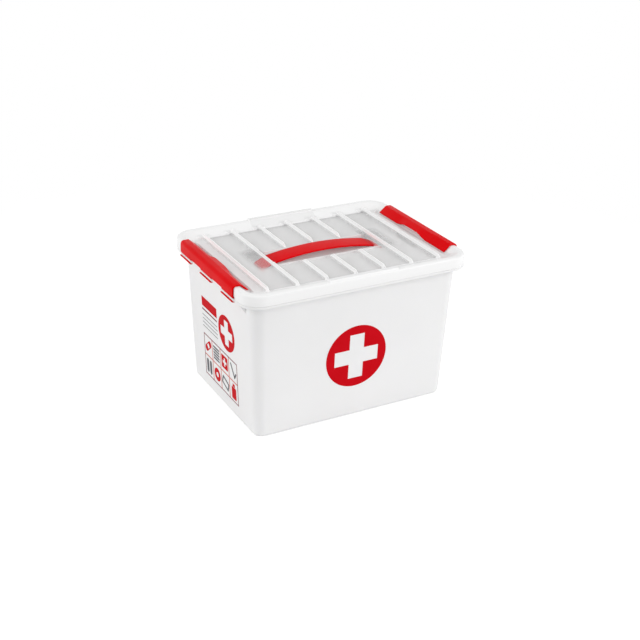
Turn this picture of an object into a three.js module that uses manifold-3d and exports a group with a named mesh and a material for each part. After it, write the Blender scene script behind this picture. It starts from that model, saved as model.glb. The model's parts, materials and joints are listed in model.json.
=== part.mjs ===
// A lidded first aid box: a leaning-walled tub, a frosted lid with a lifting strap handle,
// two end clips that hinge on bars in the tub's rim, a lift-out tray and printed labels.
// Millimetres. Origin: middle of the base, on the surface that the box stands on.
// +X runs along the long side, -Y is the front with the large disc, +Z is up.
import * as THREE from 'three';
import { mergeVertices } from 'three/addons/utils/BufferGeometryUtils.js';
import Module from 'manifold-3d';

const wasm = await Module();
wasm.setup();

// Tub
const baseLength = 348.6;
const baseWidth = 253.8;
const wallLean = 10.05;
const tubHeight = 238.3;
const baseCornerRadius = 16;
const topCornerRadius = 22;
const tubWall = 2;
const floorThickness = 2.4;
const baseEdgeRadius = 4.5;
const endOverhang = 15.65;
const sideOverhang = 13.05;
const rimCornerRadius = 33;
const flangeThickness = 2.2;
const lipThickness = 2;
const lipDepth = 4;
const upstandHeight = 11.7;
const upstandThickness = 2;
const upstandMargin = 1.3;
const gussetHeight = 24;
const gussetThickness = 2;
const gussetOffset = 108;

// Hinge bars and the clips' knuckles
const barRadius = 2;
const barStandOut = 2.2;
const knucklePitch = 81;
const knuckleWidth = 40;
const knuckleSideGap = 1;
const hookGap = 0.35;
const hookThickness = 2.25;
const hookSlotGap = 0.5;
const hookStartAngle = 60;
const hookEndAngle = 325;

// Lid
const seatGap = 0.3;
const lidWall = 1.8;
const ridgeHeight = 18.1;
const skirtLean = 0.4;
const ridgeEdgeRadius = 3.5;
const ridgeWidth = 10;
const endSlopeRun = 10.5;
const sideSlopeRun = 19.7;
const slopeDrop = 8.7;
const panelCornerRadius = 14;
const gutterDepth = 3.2;
const gutterFloorWidth = 3.6;
const gutterEndMargin = 9;
const lugLength = 122;
const lugHeight = 2.5;
const lugSetback = 3.2;
const lugWidth = 7;
const ribPitch = 51;
const ribPairs = 3;
const ribWidth = 2.2;
const ribHeight = 8.1;
const wellRimHeight = 2.2;
const wellDepth = 6.5;
const wellTaper = 4;
const wellSideTaper = 1;
const wellFront = 36.5;
const wellEndMargin = 4;
const wellCornerRadius = 8;
const skirtNotchMargin = 2.5;
const skirtNotchGap = 3.2;

// Strap handle
const strapWidth = 33;
const strapThickness = 3;
const strapSideGap = 2.3;
const strapSlotGap = 0.8;
const strapBelowRibs = 2.7;
const strapHalfSpan = 90;
const strapRise = 8.4;
const strapTail = 18;
const strapTailDrop = 6.5;
const strapBead = 2.5;
const strapBeadLength = 3;

// Clips
const clipWidth = 203;
const clipThickness = 2.3;
const clipGap = 0.35;
const clipLipGap = 0.75;
const clipLipReach = 2.5;
const tabLift = 5.6;
const tabHalfWidth = 46;
const tabBlend = 30;

// Tray
const trayDepth = 42;
const trayWall = 1.8;
const trayLean = 4;
const trayFlange = 1.8;
const trayRimGap = 1.3;
const trayClipGap = 1.6;
const trayEndLip = 3;
const trayWallGap = 2.5;
const trayCornerRadius = 16;
const trayColumns = 3;
const dividerDrop = 11;
const gripWidth = 64;
const gripDepth = 12;

// Printed labels, as thin sheets on the walls
const labelThickness = 0.4;
const labelGap = 0.3;
const frontDiscDiameter = 110;
const frontDiscHeight = 110.6;
const sideDiscDiameter = 62;
const sideDiscHeight = 143;
const sideDiscOffset = 28.3;
const crossShare = 0.72;
const headerWidth = 60;
const headerHeight = 17;
const headerOffset = -38;
const headerCentreHeight = 162.5;
const panelWidth = 131;
const panelHeight = 77;
const panelCentreHeight = 64.5;
const panelOffset = -2.3;
const panelColumns = 4;
const panelRows = 2;
const panelLine = 1.6;

// Smoothness of the faceted curves
const cornerSteps = 7;
const edgeSteps = 3;
const hookSteps = 14;
const discSteps = 48;
const strapSteps = 18;

// Sizes worked out from those above
const rimHalfLength = baseLength / 2 + wallLean + endOverhang;
const rimHalfWidth = baseWidth / 2 + wallLean + sideOverhang;
const barX = rimHalfLength - barRadius + barStandOut;
const barZ = tubHeight - barRadius;
const hookInner = barRadius + hookGap;
const hookOuter = hookInner + hookThickness;
const hookSlotRadius = hookOuter + hookSlotGap;
const knuckles = [-knucklePitch, 0, knucklePitch];
const upstandSetback = hookSlotRadius - (barX - rimHalfLength) + upstandMargin;
const skirtBottom = tubHeight + seatGap;
const ridgeTop = skirtBottom + ridgeHeight;
const panelTop = ridgeTop - slopeDrop;
const panelHalfLength = rimHalfLength - ridgeWidth - endSlopeRun;
const panelHalfWidth = rimHalfWidth - ridgeWidth - sideSlopeRun;
const ribTop = panelTop + ribHeight;
const wellFloor = panelTop - wellDepth;
const wellHalfLength = 2 * ribPitch - ribWidth / 2 - wellEndMargin;
const wellBack = strapWidth / 2 + strapSideGap;
const strapTop = ribTop - strapBelowRibs;
const webBottom = barZ + hookOuter + 0.7;
const clipHalfWidth = clipWidth / 2;
const slopeLength = Math.hypot(endSlopeRun, slopeDrop);
const slopeAlong = [endSlopeRun / slopeLength, slopeDrop / slopeLength];
const lipTipX = onEndSlope(clipLipGap + clipThickness, slopeLength + clipLipReach)[0];
const trayRimHalfLength = lipTipX - trayClipGap;
const trayRimHalfWidth = rimHalfWidth - upstandSetback - upstandThickness - trayRimGap;
const trayFlangeBottom = tubHeight + seatGap;
const trayTop = trayFlangeBottom + trayFlange;

// A point over the slope inside the end ridge: its distance off the slope and its way down along it
function onEndSlope(distance, along) {
  const [alongX, alongZ] = slopeAlong;
  return [
    rimHalfLength - ridgeWidth - alongX * along - alongZ * distance,
    ridgeTop - alongZ * along + alongX * distance,
  ];
}

// Materials
const whitePlastic = new THREE.MeshStandardMaterial({ color: 0xf2f2f1, roughness: 0.42, metalness: 0 });
const lidPlastic = new THREE.MeshStandardMaterial({
  color: 0xe9ebec, roughness: 0.35, metalness: 0, transparent: true, opacity: 0.6,
});
const redPlastic = new THREE.MeshStandardMaterial({ color: 0xdf1a26, roughness: 0.35, metalness: 0 });
const trayPlastic = new THREE.MeshStandardMaterial({ color: 0xe4e5e6, roughness: 0.45, metalness: 0 });
const redPrint = new THREE.MeshStandardMaterial({ color: 0xd0001a, roughness: 0.5, metalness: 0 });

// A three.js geometry as a solid that can be cut and joined
function solidFrom(geometry) {
  geometry.deleteAttribute('normal');
  geometry.deleteAttribute('uv');
  const merged = mergeVertices(geometry, 1e-5);
  const mesh = new wasm.Mesh({
    numProp: 3,
    vertProperties: new Float32Array(merged.attributes.position.array),
    triVerts: new Uint32Array(merged.index.array),
  });
  return new wasm.Manifold(mesh);
}

// A solid back as a three.js geometry
function geometryFrom(solid) {
  const mesh = solid.getMesh();
  const geometry = new THREE.BufferGeometry();
  geometry.setAttribute('position', new THREE.BufferAttribute(new Float32Array(mesh.vertProperties), 3));
  geometry.setIndex(new THREE.BufferAttribute(new Uint32Array(mesh.triVerts), 1));
  geometry.computeVertexNormals();
  return geometry;
}

function joinAll(solids) {
  return solids.reduce((sum, next) => sum.add(next));
}

function block(x0, x1, y0, y1, z0, z1) {
  const geometry = new THREE.BoxGeometry(x1 - x0, y1 - y0, z1 - z0);
  geometry.translate((x0 + x1) / 2, (y0 + y1) / 2, (z0 + z1) / 2);
  return solidFrom(geometry);
}

// A closed outline of [x, z] points, drawn out along Y from y0 to y1
function prismAlongY(outline, y0, y1) {
  const shape = new THREE.Shape(outline.map(([x, z]) => new THREE.Vector2(x, z)));
  const geometry = new THREE.ExtrudeGeometry(shape, { depth: y1 - y0, bevelEnabled: false });
  geometry.rotateX(Math.PI / 2);
  geometry.translate(0, y1, 0);
  return solidFrom(geometry);
}

function rodAlongY(x, z, radius, y0, y1) {
  const geometry = new THREE.CylinderGeometry(radius, radius, y1 - y0, 16);
  geometry.translate(x, (y0 + y1) / 2, z);
  return solidFrom(geometry);
}

// Points of a quarter round from level outward (0) to straight up (1), as shares of its radius
function quarterRound() {
  return Array.from({ length: edgeSteps + 1 }, (unused, step) => {
    const angle = (step / edgeSteps) * (Math.PI / 2);
    return [Math.cos(angle), Math.sin(angle)];
  });
}

// One level ring of a rounded rectangle, anticlockwise from above
function ring(halfLength, halfWidth, radius, z, middleY = 0) {
  const points = [];
  const quadrants = [[1, 1], [-1, 1], [-1, -1], [1, -1]];
  quadrants.forEach(([signX, signY], quadrant) => {
    for (let step = 0; step <= cornerSteps; step += 1) {
      const angle = (quadrant + step / cornerSteps) * (Math.PI / 2);
      points.push([
        signX * (halfLength - radius) + radius * Math.cos(angle),
        middleY + signY * (halfWidth - radius) + radius * Math.sin(angle),
        z,
      ]);
    }
  });
  return points;
}

// A closed body through a list of rings, with a flat cap on the first and on the last
function loft(rings) {
  const count = rings[0].length;
  const positions = rings.flat(2);
  const middle = (points) => [0, 1, 2].map((axis) => points.reduce((sum, p) => sum + p[axis], 0) / count);
  positions.push(...middle(rings[0]), ...middle(rings[rings.length - 1]));
  const firstMiddle = rings.length * count;
  const lastMiddle = firstMiddle + 1;
  const triangles = [];
  for (let j = 0; j < count; j += 1) {
    const next = (j + 1) % count;
    triangles.push(firstMiddle, next, j);
    for (let i = 0; i + 1 < rings.length; i += 1) {
      const low = i * count;
      const high = low + count;
      triangles.push(low + j, low + next, high + next, low + j, high + next, high + j);
    }
    const last = (rings.length - 1) * count;
    triangles.push(lastMiddle, last + j, last + next);
  }
  const geometry = new THREE.BufferGeometry();
  geometry.setAttribute('position', new THREE.Float32BufferAttribute(positions, 3));
  geometry.setIndex(triangles);
  return solidFrom(geometry);
}

// Both short ends: the same solid and its half-turn copy about the upright axis
function onBothEnds(solid) {
  return solid.add(solid.rotate([0, 0, 180]));
}

// How far the tub's outer wall has leaned out at a height
function leanAt(z) {
  return (wallLean * z) / tubHeight;
}

function wallRing(inset, z) {
  const share = z / tubHeight;
  const radius = baseCornerRadius + (topCornerRadius - baseCornerRadius) * share - inset;
  return ring(baseLength / 2 + leanAt(z) - inset, baseWidth / 2 + leanAt(z) - inset, Math.max(radius, 2), z);
}

function rimRing(inset, z) {
  return ring(rimHalfLength - inset, rimHalfWidth - inset, rimCornerRadius - inset, z);
}

function hingeSlots() {
  const reach = knuckleWidth / 2 + knuckleSideGap;
  return joinAll(knuckles.map((y) => rodAlongY(barX, barZ, hookSlotRadius, y - reach, y + reach)));
}

function hingeBars() {
  const reach = knuckleWidth / 2 + knuckleSideGap + 1.5;
  return joinAll(knuckles.map((y) => rodAlongY(barX, barZ, barRadius, y - reach, y + reach)));
}

// Upright triangular plates under the flange, near the corners of each short end
function gussets() {
  const low = tubHeight - flangeThickness - gussetHeight;
  const wallX = baseLength / 2 + leanAt(low) - tubWall / 2;
  const outline = [
    [wallX, low],
    [rimHalfLength - lipThickness / 2, tubHeight - lipDepth + 0.4],
    [rimHalfLength - lipThickness / 2, tubHeight - flangeThickness / 2],
    [wallX, tubHeight - flangeThickness / 2],
  ];
  const plate = (y) => prismAlongY(outline, y - gussetThickness / 2, y + gussetThickness / 2);
  return plate(gussetOffset).add(plate(-gussetOffset));
}

function makeTub() {
  const flangeBottom = tubHeight - flangeThickness;
  const upstandTop = tubHeight + upstandHeight;
  const floorEdge = baseEdgeRadius * 0.8;
  const shell = loft([
    wallRing(baseEdgeRadius, 0),
    wallRing(baseEdgeRadius * 0.29, baseEdgeRadius * 0.29),
    wallRing(0, baseEdgeRadius),
    wallRing(0, flangeBottom),
    rimRing(lipThickness, flangeBottom),
    rimRing(lipThickness, tubHeight - lipDepth),
    rimRing(0, tubHeight - lipDepth),
    rimRing(0, tubHeight),
    rimRing(upstandSetback, tubHeight),
    rimRing(upstandSetback, upstandTop),
    rimRing(upstandSetback + upstandThickness, upstandTop),
    rimRing(upstandSetback + upstandThickness, tubHeight),
    wallRing(tubWall, tubHeight),
    wallRing(tubWall, floorThickness + floorEdge),
    wallRing(tubWall + floorEdge * 0.29, floorThickness + floorEdge * 0.29),
    wallRing(tubWall + floorEdge, floorThickness),
  ]);
  return shell
    .subtract(onBothEnds(hingeSlots()))
    .add(onBothEnds(hingeBars()))
    .add(onBothEnds(gussets()));
}

// The lid's outside without its ribs: skirt, rounded ridge, slope and panel
function lidOutside() {
  const edge = ridgeEdgeRadius;
  const rounded = quarterRound().map(([out, up]) => (
    rimRing(skirtLean + edge * (1 - out), ridgeTop - edge * (1 - up))
  ));
  return loft([
    rimRing(0, skirtBottom),
    ...rounded,
    rimRing(ridgeWidth, ridgeTop),
    ring(panelHalfLength, panelHalfWidth, panelCornerRadius, panelTop),
  ]);
}

// The space under the lid, one wall inside its outside
function lidUnderside() {
  const edge = ridgeEdgeRadius - lidWall / 2;
  const under = ridgeTop - lidWall;
  const rounded = quarterRound().map(([out, up]) => (
    rimRing(lidWall + skirtLean + edge * (1 - out), under - edge * (1 - up))
  ));
  return loft([
    rimRing(lidWall, skirtBottom - 1),
    rimRing(lidWall, skirtBottom),
    ...rounded,
    rimRing(ridgeWidth - lidWall / 3, under),
    ring(panelHalfLength, panelHalfWidth, panelCornerRadius, panelTop - lidWall),
  ]);
}

// The hand well under the strap, grown by a margin on every side
function wellShape(margin, top) {
  const middleY = (wellBack - wellFront) / 2;
  const halfWidth = (wellBack + wellFront) / 2;
  const level = (endTaper, sideTaper, z) => ring(
    wellHalfLength - endTaper + margin,
    halfWidth - sideTaper + margin,
    wellCornerRadius - endTaper + margin,
    z,
    middleY,
  );
  const low = wellFloor - margin;
  return loft([level(wellTaper, wellSideTaper, low), level(0, 0, panelTop), level(0, 0, top)]);
}

// A groove inside each end ridge that the clip's lip reaches into, grown by a margin
function gutterShape(margin) {
  const slopeRate = endSlopeRun / slopeDrop;
  const low = panelTop - gutterDepth - margin;
  const top = panelTop + 1;
  const outerLow = panelHalfLength - gutterDepth * slopeRate + margin / 2;
  const innerLow = outerLow - gutterFloorWidth - 1.5 * margin;
  const reach = clipHalfWidth + gutterEndMargin + margin;
  const outline = [
    [innerLow - 0.6, top],
    [innerLow, low],
    [outerLow, low],
    [outerLow + (top - low) * slopeRate, top],
  ];
  return prismAlongY(outline, -reach, reach);
}

// The cross ribs and the low wall round the hand well
function lidRibs() {
  const reach = panelHalfWidth + (ribHeight / slopeDrop) * sideSlopeRun;
  const halfWidth = ribWidth / 2;
  const ribs = [];
  for (let index = -ribPairs; index <= ribPairs; index += 1) {
    const x = index * ribPitch;
    ribs.push(block(x - halfWidth, x + halfWidth, -reach, reach, panelTop - lidWall / 2, ribTop));
  }
  const wallReach = 2 * ribPitch;
  const rows = [-wellFront - halfWidth, wellBack + halfWidth];
  rows.forEach((y) => {
    const rimTop = panelTop + wellRimHeight;
    ribs.push(block(-wallReach, wallReach, y - halfWidth, y + halfWidth, panelTop - lidWall / 2, rimTop));
  });
  return joinAll(ribs);
}

// A raised block in the middle of each long side's ridge
function lidLugs() {
  const outer = rimHalfWidth - lugSetback;
  const half = lugLength / 2;
  const lug = block(-half, half, outer - lugWidth, outer, ridgeTop - lidWall / 2, ridgeTop + lugHeight);
  return onBothEnds(lug);
}

// The strap's upper surface, as height over the distance from the middle
function strapHeightAt(x) {
  const distance = Math.abs(x);
  if (distance <= strapHalfSpan) {
    return strapTop - strapRise * (distance / strapHalfSpan) ** 2;
  }
  return strapTop - strapRise - ((distance - strapHalfSpan) * strapTailDrop) / strapTail;
}

// Openings in the well's end walls, which the strap's tails pass through
function strapSlots() {
  const inner = wellHalfLength - wellTaper - lidWall;
  const outer = wellHalfLength + 2 * lidWall;
  const half = strapWidth / 2 + strapSlotGap;
  const top = strapHeightAt(inner) + strapSlotGap;
  const low = strapHeightAt(outer) - strapThickness - strapSlotGap;
  return onBothEnds(block(inner, outer, -half, half, low, top));
}

// Room in the lid's end skirts for the clips' knuckles
function skirtNotches() {
  const half = clipHalfWidth + skirtNotchMargin;
  const outer = rimHalfLength + 1;
  return onBothEnds(block(outer - 2 * lidWall - 1, outer, -half, half, skirtBottom - 2, skirtBottom + skirtNotchGap));
}

function makeLid() {
  const cuts = wellShape(0, ridgeTop + 5);
  const outside = lidOutside()
    .add(lidRibs())
    .add(lidLugs())
    .subtract(cuts)
    .subtract(onBothEnds(gutterShape(0)));
  const underside = lidUnderside()
    .subtract(wellShape(lidWall, panelTop))
    .subtract(onBothEnds(gutterShape(lidWall)));
  return outside.subtract(underside).subtract(strapSlots()).subtract(skirtNotches());
}

function makeStrap() {
  const reach = strapHalfSpan + strapTail;
  const upper = [];
  for (let step = 0; step <= strapSteps; step += 1) {
    const x = -strapHalfSpan + (2 * strapHalfSpan * step) / strapSteps;
    upper.push([x, strapHeightAt(x)]);
  }
  upper.unshift([-reach, strapHeightAt(-reach)]);
  upper.push([reach, strapHeightAt(reach)]);
  const lower = upper.map(([x, z]) => [x, z - strapThickness]).reverse();
  const beadLow = strapHeightAt(reach) - strapThickness - strapBead;
  const beadX = reach - strapBeadLength;
  const beadTop = strapHeightAt(beadX) - strapThickness;
  const outline = [
    ...upper,
    [reach, beadLow],
    [beadX, beadLow],
    [beadX, beadTop],
    ...lower.slice(1, -1),
    [-beadX, beadTop],
    [-beadX, beadLow],
    [-reach, beadLow],
  ];
  return prismAlongY(outline, -strapWidth / 2, strapWidth / 2);
}

// The clip's cross-section at one place along it, as [x, z] points.
// lift raises the tip of the inner lip.
function clipSection(lift) {
  const inside = rimHalfLength + clipGap;
  const centreX = rimHalfLength - skirtLean - ridgeEdgeRadius;
  const centreZ = ridgeTop - ridgeEdgeRadius;
  const bend = (radius) => quarterRound().map(([out, up]) => [centreX + radius * out, centreZ + radius * up]);
  const innerRadius = ridgeEdgeRadius + clipGap;
  const [alongX, alongZ] = slopeAlong;
  const knee = (distance, rise) => onEndSlope(distance, (alongX * distance - rise) / alongZ);
  const lipLength = slopeLength + clipLipReach;
  const raised = ([x, z]) => [x, z + lift];
  return [
    [inside + clipThickness, webBottom],
    ...bend(innerRadius + clipThickness),
    knee(clipLipGap + clipThickness, clipGap + clipThickness),
    raised(onEndSlope(clipLipGap + clipThickness, lipLength)),
    raised(onEndSlope(clipLipGap, lipLength)),
    knee(clipLipGap, clipGap),
    ...bend(innerRadius).reverse(),
    [inside, webBottom],
  ];
}

// The knuckle's outline: a hook round the hinge bar, and the foot of the web above it
function hookOutline() {
  const at = (radius, degrees) => {
    const angle = (degrees * Math.PI) / 180;
    return [barX + radius * Math.cos(angle), barZ + radius * Math.sin(angle)];
  };
  const inside = rimHalfLength + clipGap;
  const outside = inside + clipThickness;
  const innerArc = [];
  const outerArc = [];
  const backAngle = 93;
  for (let step = 0; step <= hookSteps; step += 1) {
    const share = step / hookSteps;
    innerArc.push(at(hookInner, hookStartAngle + (hookEndAngle - hookStartAngle) * share));
    outerArc.push(at(hookOuter, hookEndAngle + (backAngle - hookEndAngle) * share));
  }
  return [
    [outside, webBottom + 1],
    at(hookOuter, hookStartAngle),
    ...innerArc,
    ...outerArc,
    [inside, webBottom + 1],
  ].reverse();
}

// The clip's body runs along Y through its sections; the lip's tip lifts smoothly near the middle
function makeClip() {
  const stations = [-clipHalfWidth];
  const tabSteps = 12;
  for (let step = 0; step <= tabSteps; step += 1) {
    stations.push(-tabHalfWidth + (2 * tabHalfWidth * step) / tabSteps);
  }
  stations.push(clipHalfWidth);
  const rings = stations.map((y) => {
    const share = Math.min(Math.max((tabHalfWidth - Math.abs(y)) / tabBlend, 0), 1);
    const lift = tabLift * share * share * (3 - 2 * share);
    return clipSection(lift).map(([x, z]) => [x, y, z]);
  });
  const body = loftAlongY(rings);
  const hooks = knuckles.map((y) => prismAlongY(hookOutline(), y - knuckleWidth / 2, y + knuckleWidth / 2));
  return joinAll([body, ...hooks]);
}

// A closed body through equal sections that follow each other along +Y
function loftAlongY(sections) {
  const count = sections[0].length;
  const positions = sections.flat(2);
  const triangles = [];
  for (let i = 0; i + 1 < sections.length; i += 1) {
    for (let j = 0; j < count; j += 1) {
      const next = (j + 1) % count;
      const near = i * count;
      const far = near + count;
      triangles.push(near + j, far + j, far + next, near + j, far + next, near + next);
    }
  }
  const flat = sections[0].map(([x, , z]) => new THREE.Vector2(x, z));
  const last = (sections.length - 1) * count;
  const endFlat = sections[sections.length - 1].map(([x, , z]) => new THREE.Vector2(x, z));
  THREE.ShapeUtils.triangulateShape(flat, []).forEach(([a, b, c]) => triangles.push(a, b, c));
  THREE.ShapeUtils.triangulateShape(endFlat, []).forEach(([a, b, c]) => triangles.push(last + a, last + c, last + b));
  const geometry = new THREE.BufferGeometry();
  geometry.setAttribute('position', new THREE.Float32BufferAttribute(positions, 3));
  geometry.setIndex(triangles);
  const solid = solidFrom(geometry);
  return solid;
}

// The tray hangs by its side flanges on the tub's ledge and is short enough to pass the closed clips
function trayRing(inset, z) {
  const lean = (trayLean * (trayTop - z)) / trayDepth;
  const halfLength = trayRimHalfLength - trayEndLip - lean - inset;
  const halfWidth = baseWidth / 2 + leanAt(tubHeight) - tubWall - trayWallGap - lean - inset;
  return ring(halfLength, halfWidth, trayCornerRadius - inset, z);
}

function trayFlangeRing(z) {
  return ring(trayRimHalfLength, trayRimHalfWidth, trayCornerRadius, z);
}

function makeTray() {
  const low = trayTop - trayDepth;
  const body = loft([
    trayRing(2, low),
    trayRing(0, low + 2),
    trayRing(0, trayFlangeBottom),
    trayFlangeRing(trayFlangeBottom),
    trayFlangeRing(trayTop),
  ]);
  const hollow = loft([
    trayRing(trayWall + 2, low + trayWall),
    trayRing(trayWall, low + trayWall + 2),
    trayRing(trayWall, trayTop + 1),
  ]);
  const halfLength = Math.max(...trayRing(0, low + 2).map(([x]) => x)) - trayWall / 2;
  const halfWidth = Math.max(...trayRing(0, low + 2).map(([, y]) => y)) - trayWall / 2;
  const dividerTop = trayTop - dividerDrop;
  const dividers = [block(-halfLength, halfLength, -trayWall / 2, trayWall / 2, low + trayWall / 2, dividerTop)];
  for (let column = 1; column < trayColumns; column += 1) {
    const x = -halfLength + (2 * halfLength * column) / trayColumns;
    dividers.push(block(x - trayWall / 2, x + trayWall / 2, -halfWidth, halfWidth, low + trayWall / 2, dividerTop));
  }
  const gripReach = halfLength + trayLean + trayEndLip + 4;
  const grips = block(-gripReach, gripReach, -gripWidth / 2, gripWidth / 2, trayTop - gripDepth, trayTop + 1);
  return joinAll([body.subtract(hollow), ...dividers]).subtract(grips);
}

// A cross of five equal squares
function crossPath(span) {
  const arm = span / 2;
  const half = span / 6;
  const corners = [
    [half, arm], [half, half], [arm, half], [arm, -half], [half, -half], [half, -arm],
    [-half, -arm], [-half, -half], [-arm, -half], [-arm, half], [-half, half], [-half, arm],
  ];
  return new THREE.Path(corners.map(([x, y]) => new THREE.Vector2(x, y)));
}

function sheetOf(shape) {
  return solidFrom(new THREE.ExtrudeGeometry(shape, {
    depth: labelThickness, bevelEnabled: false, curveSegments: discSteps / 2,
  }));
}

function crossDisc(diameter) {
  const shape = new THREE.Shape();
  shape.absarc(0, 0, diameter / 2, 0, 2 * Math.PI, false);
  shape.holes.push(crossPath(diameter * crossShare));
  return sheetOf(shape);
}

function headerBar() {
  return block(-headerWidth / 2, headerWidth / 2, -headerHeight / 2, headerHeight / 2, 0, labelThickness);
}

// A frame of thin lines round rows and columns of open cells
function pictogramPanel() {
  const halfWidth = panelWidth / 2;
  const halfHeight = panelHeight / 2;
  const stepX = (panelWidth - panelLine) / panelColumns;
  const stepY = (panelHeight - panelLine) / panelRows;
  const cells = [];
  for (let column = 0; column < panelColumns; column += 1) {
    for (let row = 0; row < panelRows; row += 1) {
      const x = -halfWidth + panelLine + column * stepX;
      const y = -halfHeight + panelLine + row * stepY;
      cells.push(block(x, x + stepX - panelLine, y, y + stepY - panelLine, -1, labelThickness + 1));
    }
  }
  return block(-halfWidth, halfWidth, -halfHeight, halfHeight, 0, labelThickness).subtract(joinAll(cells));
}

function addMesh(group, name, solid, material) {
  const mesh = new THREE.Mesh(geometryFrom(solid), material);
  mesh.name = name;
  group.add(mesh);
  return mesh;
}

// Seats a sheet on the leaning wall that faces -Y in its group, at an offset to the side and a height
function seatOnWall(mesh, wallHalf, offset, height) {
  const lean = Math.atan(wallLean / tubHeight);
  mesh.rotation.x = Math.PI / 2 + lean;
  mesh.position.set(
    offset,
    -(wallHalf + leanAt(height) + labelGap * Math.cos(lean)),
    height - labelGap * Math.sin(lean),
  );
}

const box = new THREE.Group();
addMesh(box, 'tub', makeTub(), whitePlastic);
addMesh(box, 'lid', makeLid(), lidPlastic);
addMesh(box, 'handle_strap', makeStrap(), redPlastic);
addMesh(box, 'insert_tray', makeTray(), trayPlastic);

const clip = makeClip();
addMesh(box, 'clip_right', clip, redPlastic);
const clipLeft = addMesh(box, 'clip_left', clip, redPlastic);
clipLeft.rotation.z = Math.PI;

const frontLabel = new THREE.Group();
const frontDisc = addMesh(frontLabel, 'front_cross_disc', crossDisc(frontDiscDiameter), redPrint);
seatOnWall(frontDisc, baseWidth / 2, 0, frontDiscHeight);
box.add(frontLabel);

const sideLabel = new THREE.Group();
sideLabel.rotation.z = -Math.PI / 2;
const sideDisc = addMesh(sideLabel, 'side_cross_disc', crossDisc(sideDiscDiameter), redPrint);
seatOnWall(sideDisc, baseLength / 2, sideDiscOffset, sideDiscHeight);
const header = addMesh(sideLabel, 'side_header_bar', headerBar(), redPrint);
seatOnWall(header, baseLength / 2, headerOffset, headerCentreHeight);
const panel = addMesh(sideLabel, 'side_pictogram_panel', pictogramPanel(), redPrint);
seatOnWall(panel, baseLength / 2, panelOffset, panelCentreHeight);
box.add(sideLabel);

export default box;
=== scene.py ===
"""Looks of a first aid box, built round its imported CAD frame.

Lengths are in millimetres here and turned into metres when a mesh is made.
+X runs along the long side, -Y is the front with the large disc, +Z is up.
"""

import json
import math

import bmesh
import bpy
import numpy as np
from mathutils import Matrix, Vector
from mathutils.geometry import tessellate_polygon


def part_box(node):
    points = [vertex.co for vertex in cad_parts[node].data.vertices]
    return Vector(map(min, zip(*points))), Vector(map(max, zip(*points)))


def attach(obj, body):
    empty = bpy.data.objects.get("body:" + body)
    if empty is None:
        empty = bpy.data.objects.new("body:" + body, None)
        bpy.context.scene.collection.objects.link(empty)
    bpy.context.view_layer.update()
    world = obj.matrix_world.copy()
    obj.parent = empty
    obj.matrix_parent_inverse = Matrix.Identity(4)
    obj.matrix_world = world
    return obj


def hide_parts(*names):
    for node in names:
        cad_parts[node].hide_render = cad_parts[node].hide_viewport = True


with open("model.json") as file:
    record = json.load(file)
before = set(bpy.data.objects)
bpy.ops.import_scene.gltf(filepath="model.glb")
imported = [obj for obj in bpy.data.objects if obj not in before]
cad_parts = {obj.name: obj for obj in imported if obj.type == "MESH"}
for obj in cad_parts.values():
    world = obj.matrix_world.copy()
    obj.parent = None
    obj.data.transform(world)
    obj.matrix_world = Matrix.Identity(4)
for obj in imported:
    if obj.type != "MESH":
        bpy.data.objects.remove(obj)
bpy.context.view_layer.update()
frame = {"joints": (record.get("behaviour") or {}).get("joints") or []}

MM = 0.001

# Overall sizes, read from the frame
TUB_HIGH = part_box("tub")[1]
LID_LOW, LID_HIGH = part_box("lid")
CLIP_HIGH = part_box("clip_right")[1]
STRAP_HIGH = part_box("handle_strap")[1]
HINGE_JOINT = next(joint for joint in frame["joints"] if joint["name"] == "clip_right_hinge")
RIM_X = LID_HIGH[0] / MM
RIM_Y = LID_HIGH[1] / MM
LID_BOTTOM = LID_LOW[2] / MM
BAR_X = HINGE_JOINT["pos_m"][0] / MM
BAR_Z = HINGE_JOINT["pos_m"][2] / MM
CLIP_HALF_WIDTH = CLIP_HIGH[1] / MM

# Tub
SEAT_GAP = 0.3
TUB_HEIGHT = LID_BOTTOM - SEAT_GAP
BASE_X = 174.3
BASE_Y = 126.9
WALL_LEAN = 10.05
BASE_CORNER = 16
TOP_CORNER = 22
RIM_CORNER = 33
WALL = 2
FLOOR = 2.4
BASE_ROUND = 5
FLANGE = 2.2
FLANGE_FILLET = 1.6
LIP_WIDTH = 2
LIP_DEPTH = 4
LIP_FILLET = 0.6
EDGE_ROUND = 0.5
UPSTAND_TOP = TUB_HIGH[2] / MM
UPSTAND_INSET = 6.2
UPSTAND_WIDTH = 2
UPSTAND_FILLET = 0.8
UPSTAND_ROUND = 0.6
LEDGE_SHARE = 0.9
LEDGE_ROUND = 0.8
OUTER_RING_STEP = 40
INNER_RING_STEP = 50
GUSSET_Y = 108
GUSSET_DROP = 24
GUSSET_WIDTH = 2
GUSSET_TIP_LIFT = 0.4
SUNK = 1

# Knuckles of the clips and the slots that they turn in
KNUCKLE_PITCH = 81
KNUCKLE_WIDTH = 40
SLOT_SIDE_GAP = 1
SLOT_RADIUS = 5.1
BAR_RADIUS = 2
BAR_SUNK = 1.5
HOOK_INNER = 2.35
HOOK_OUTER = 4.6
HOOK_START = 60
HOOK_END = 325
HOOK_BACK = 93
HOOK_STEPS = 36
HOOK_OVERLAP = 1.5
KNUCKLE_END_ROUND = 0.4
WEB_BOTTOM = BAR_Z + HOOK_OUTER + 0.7

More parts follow.
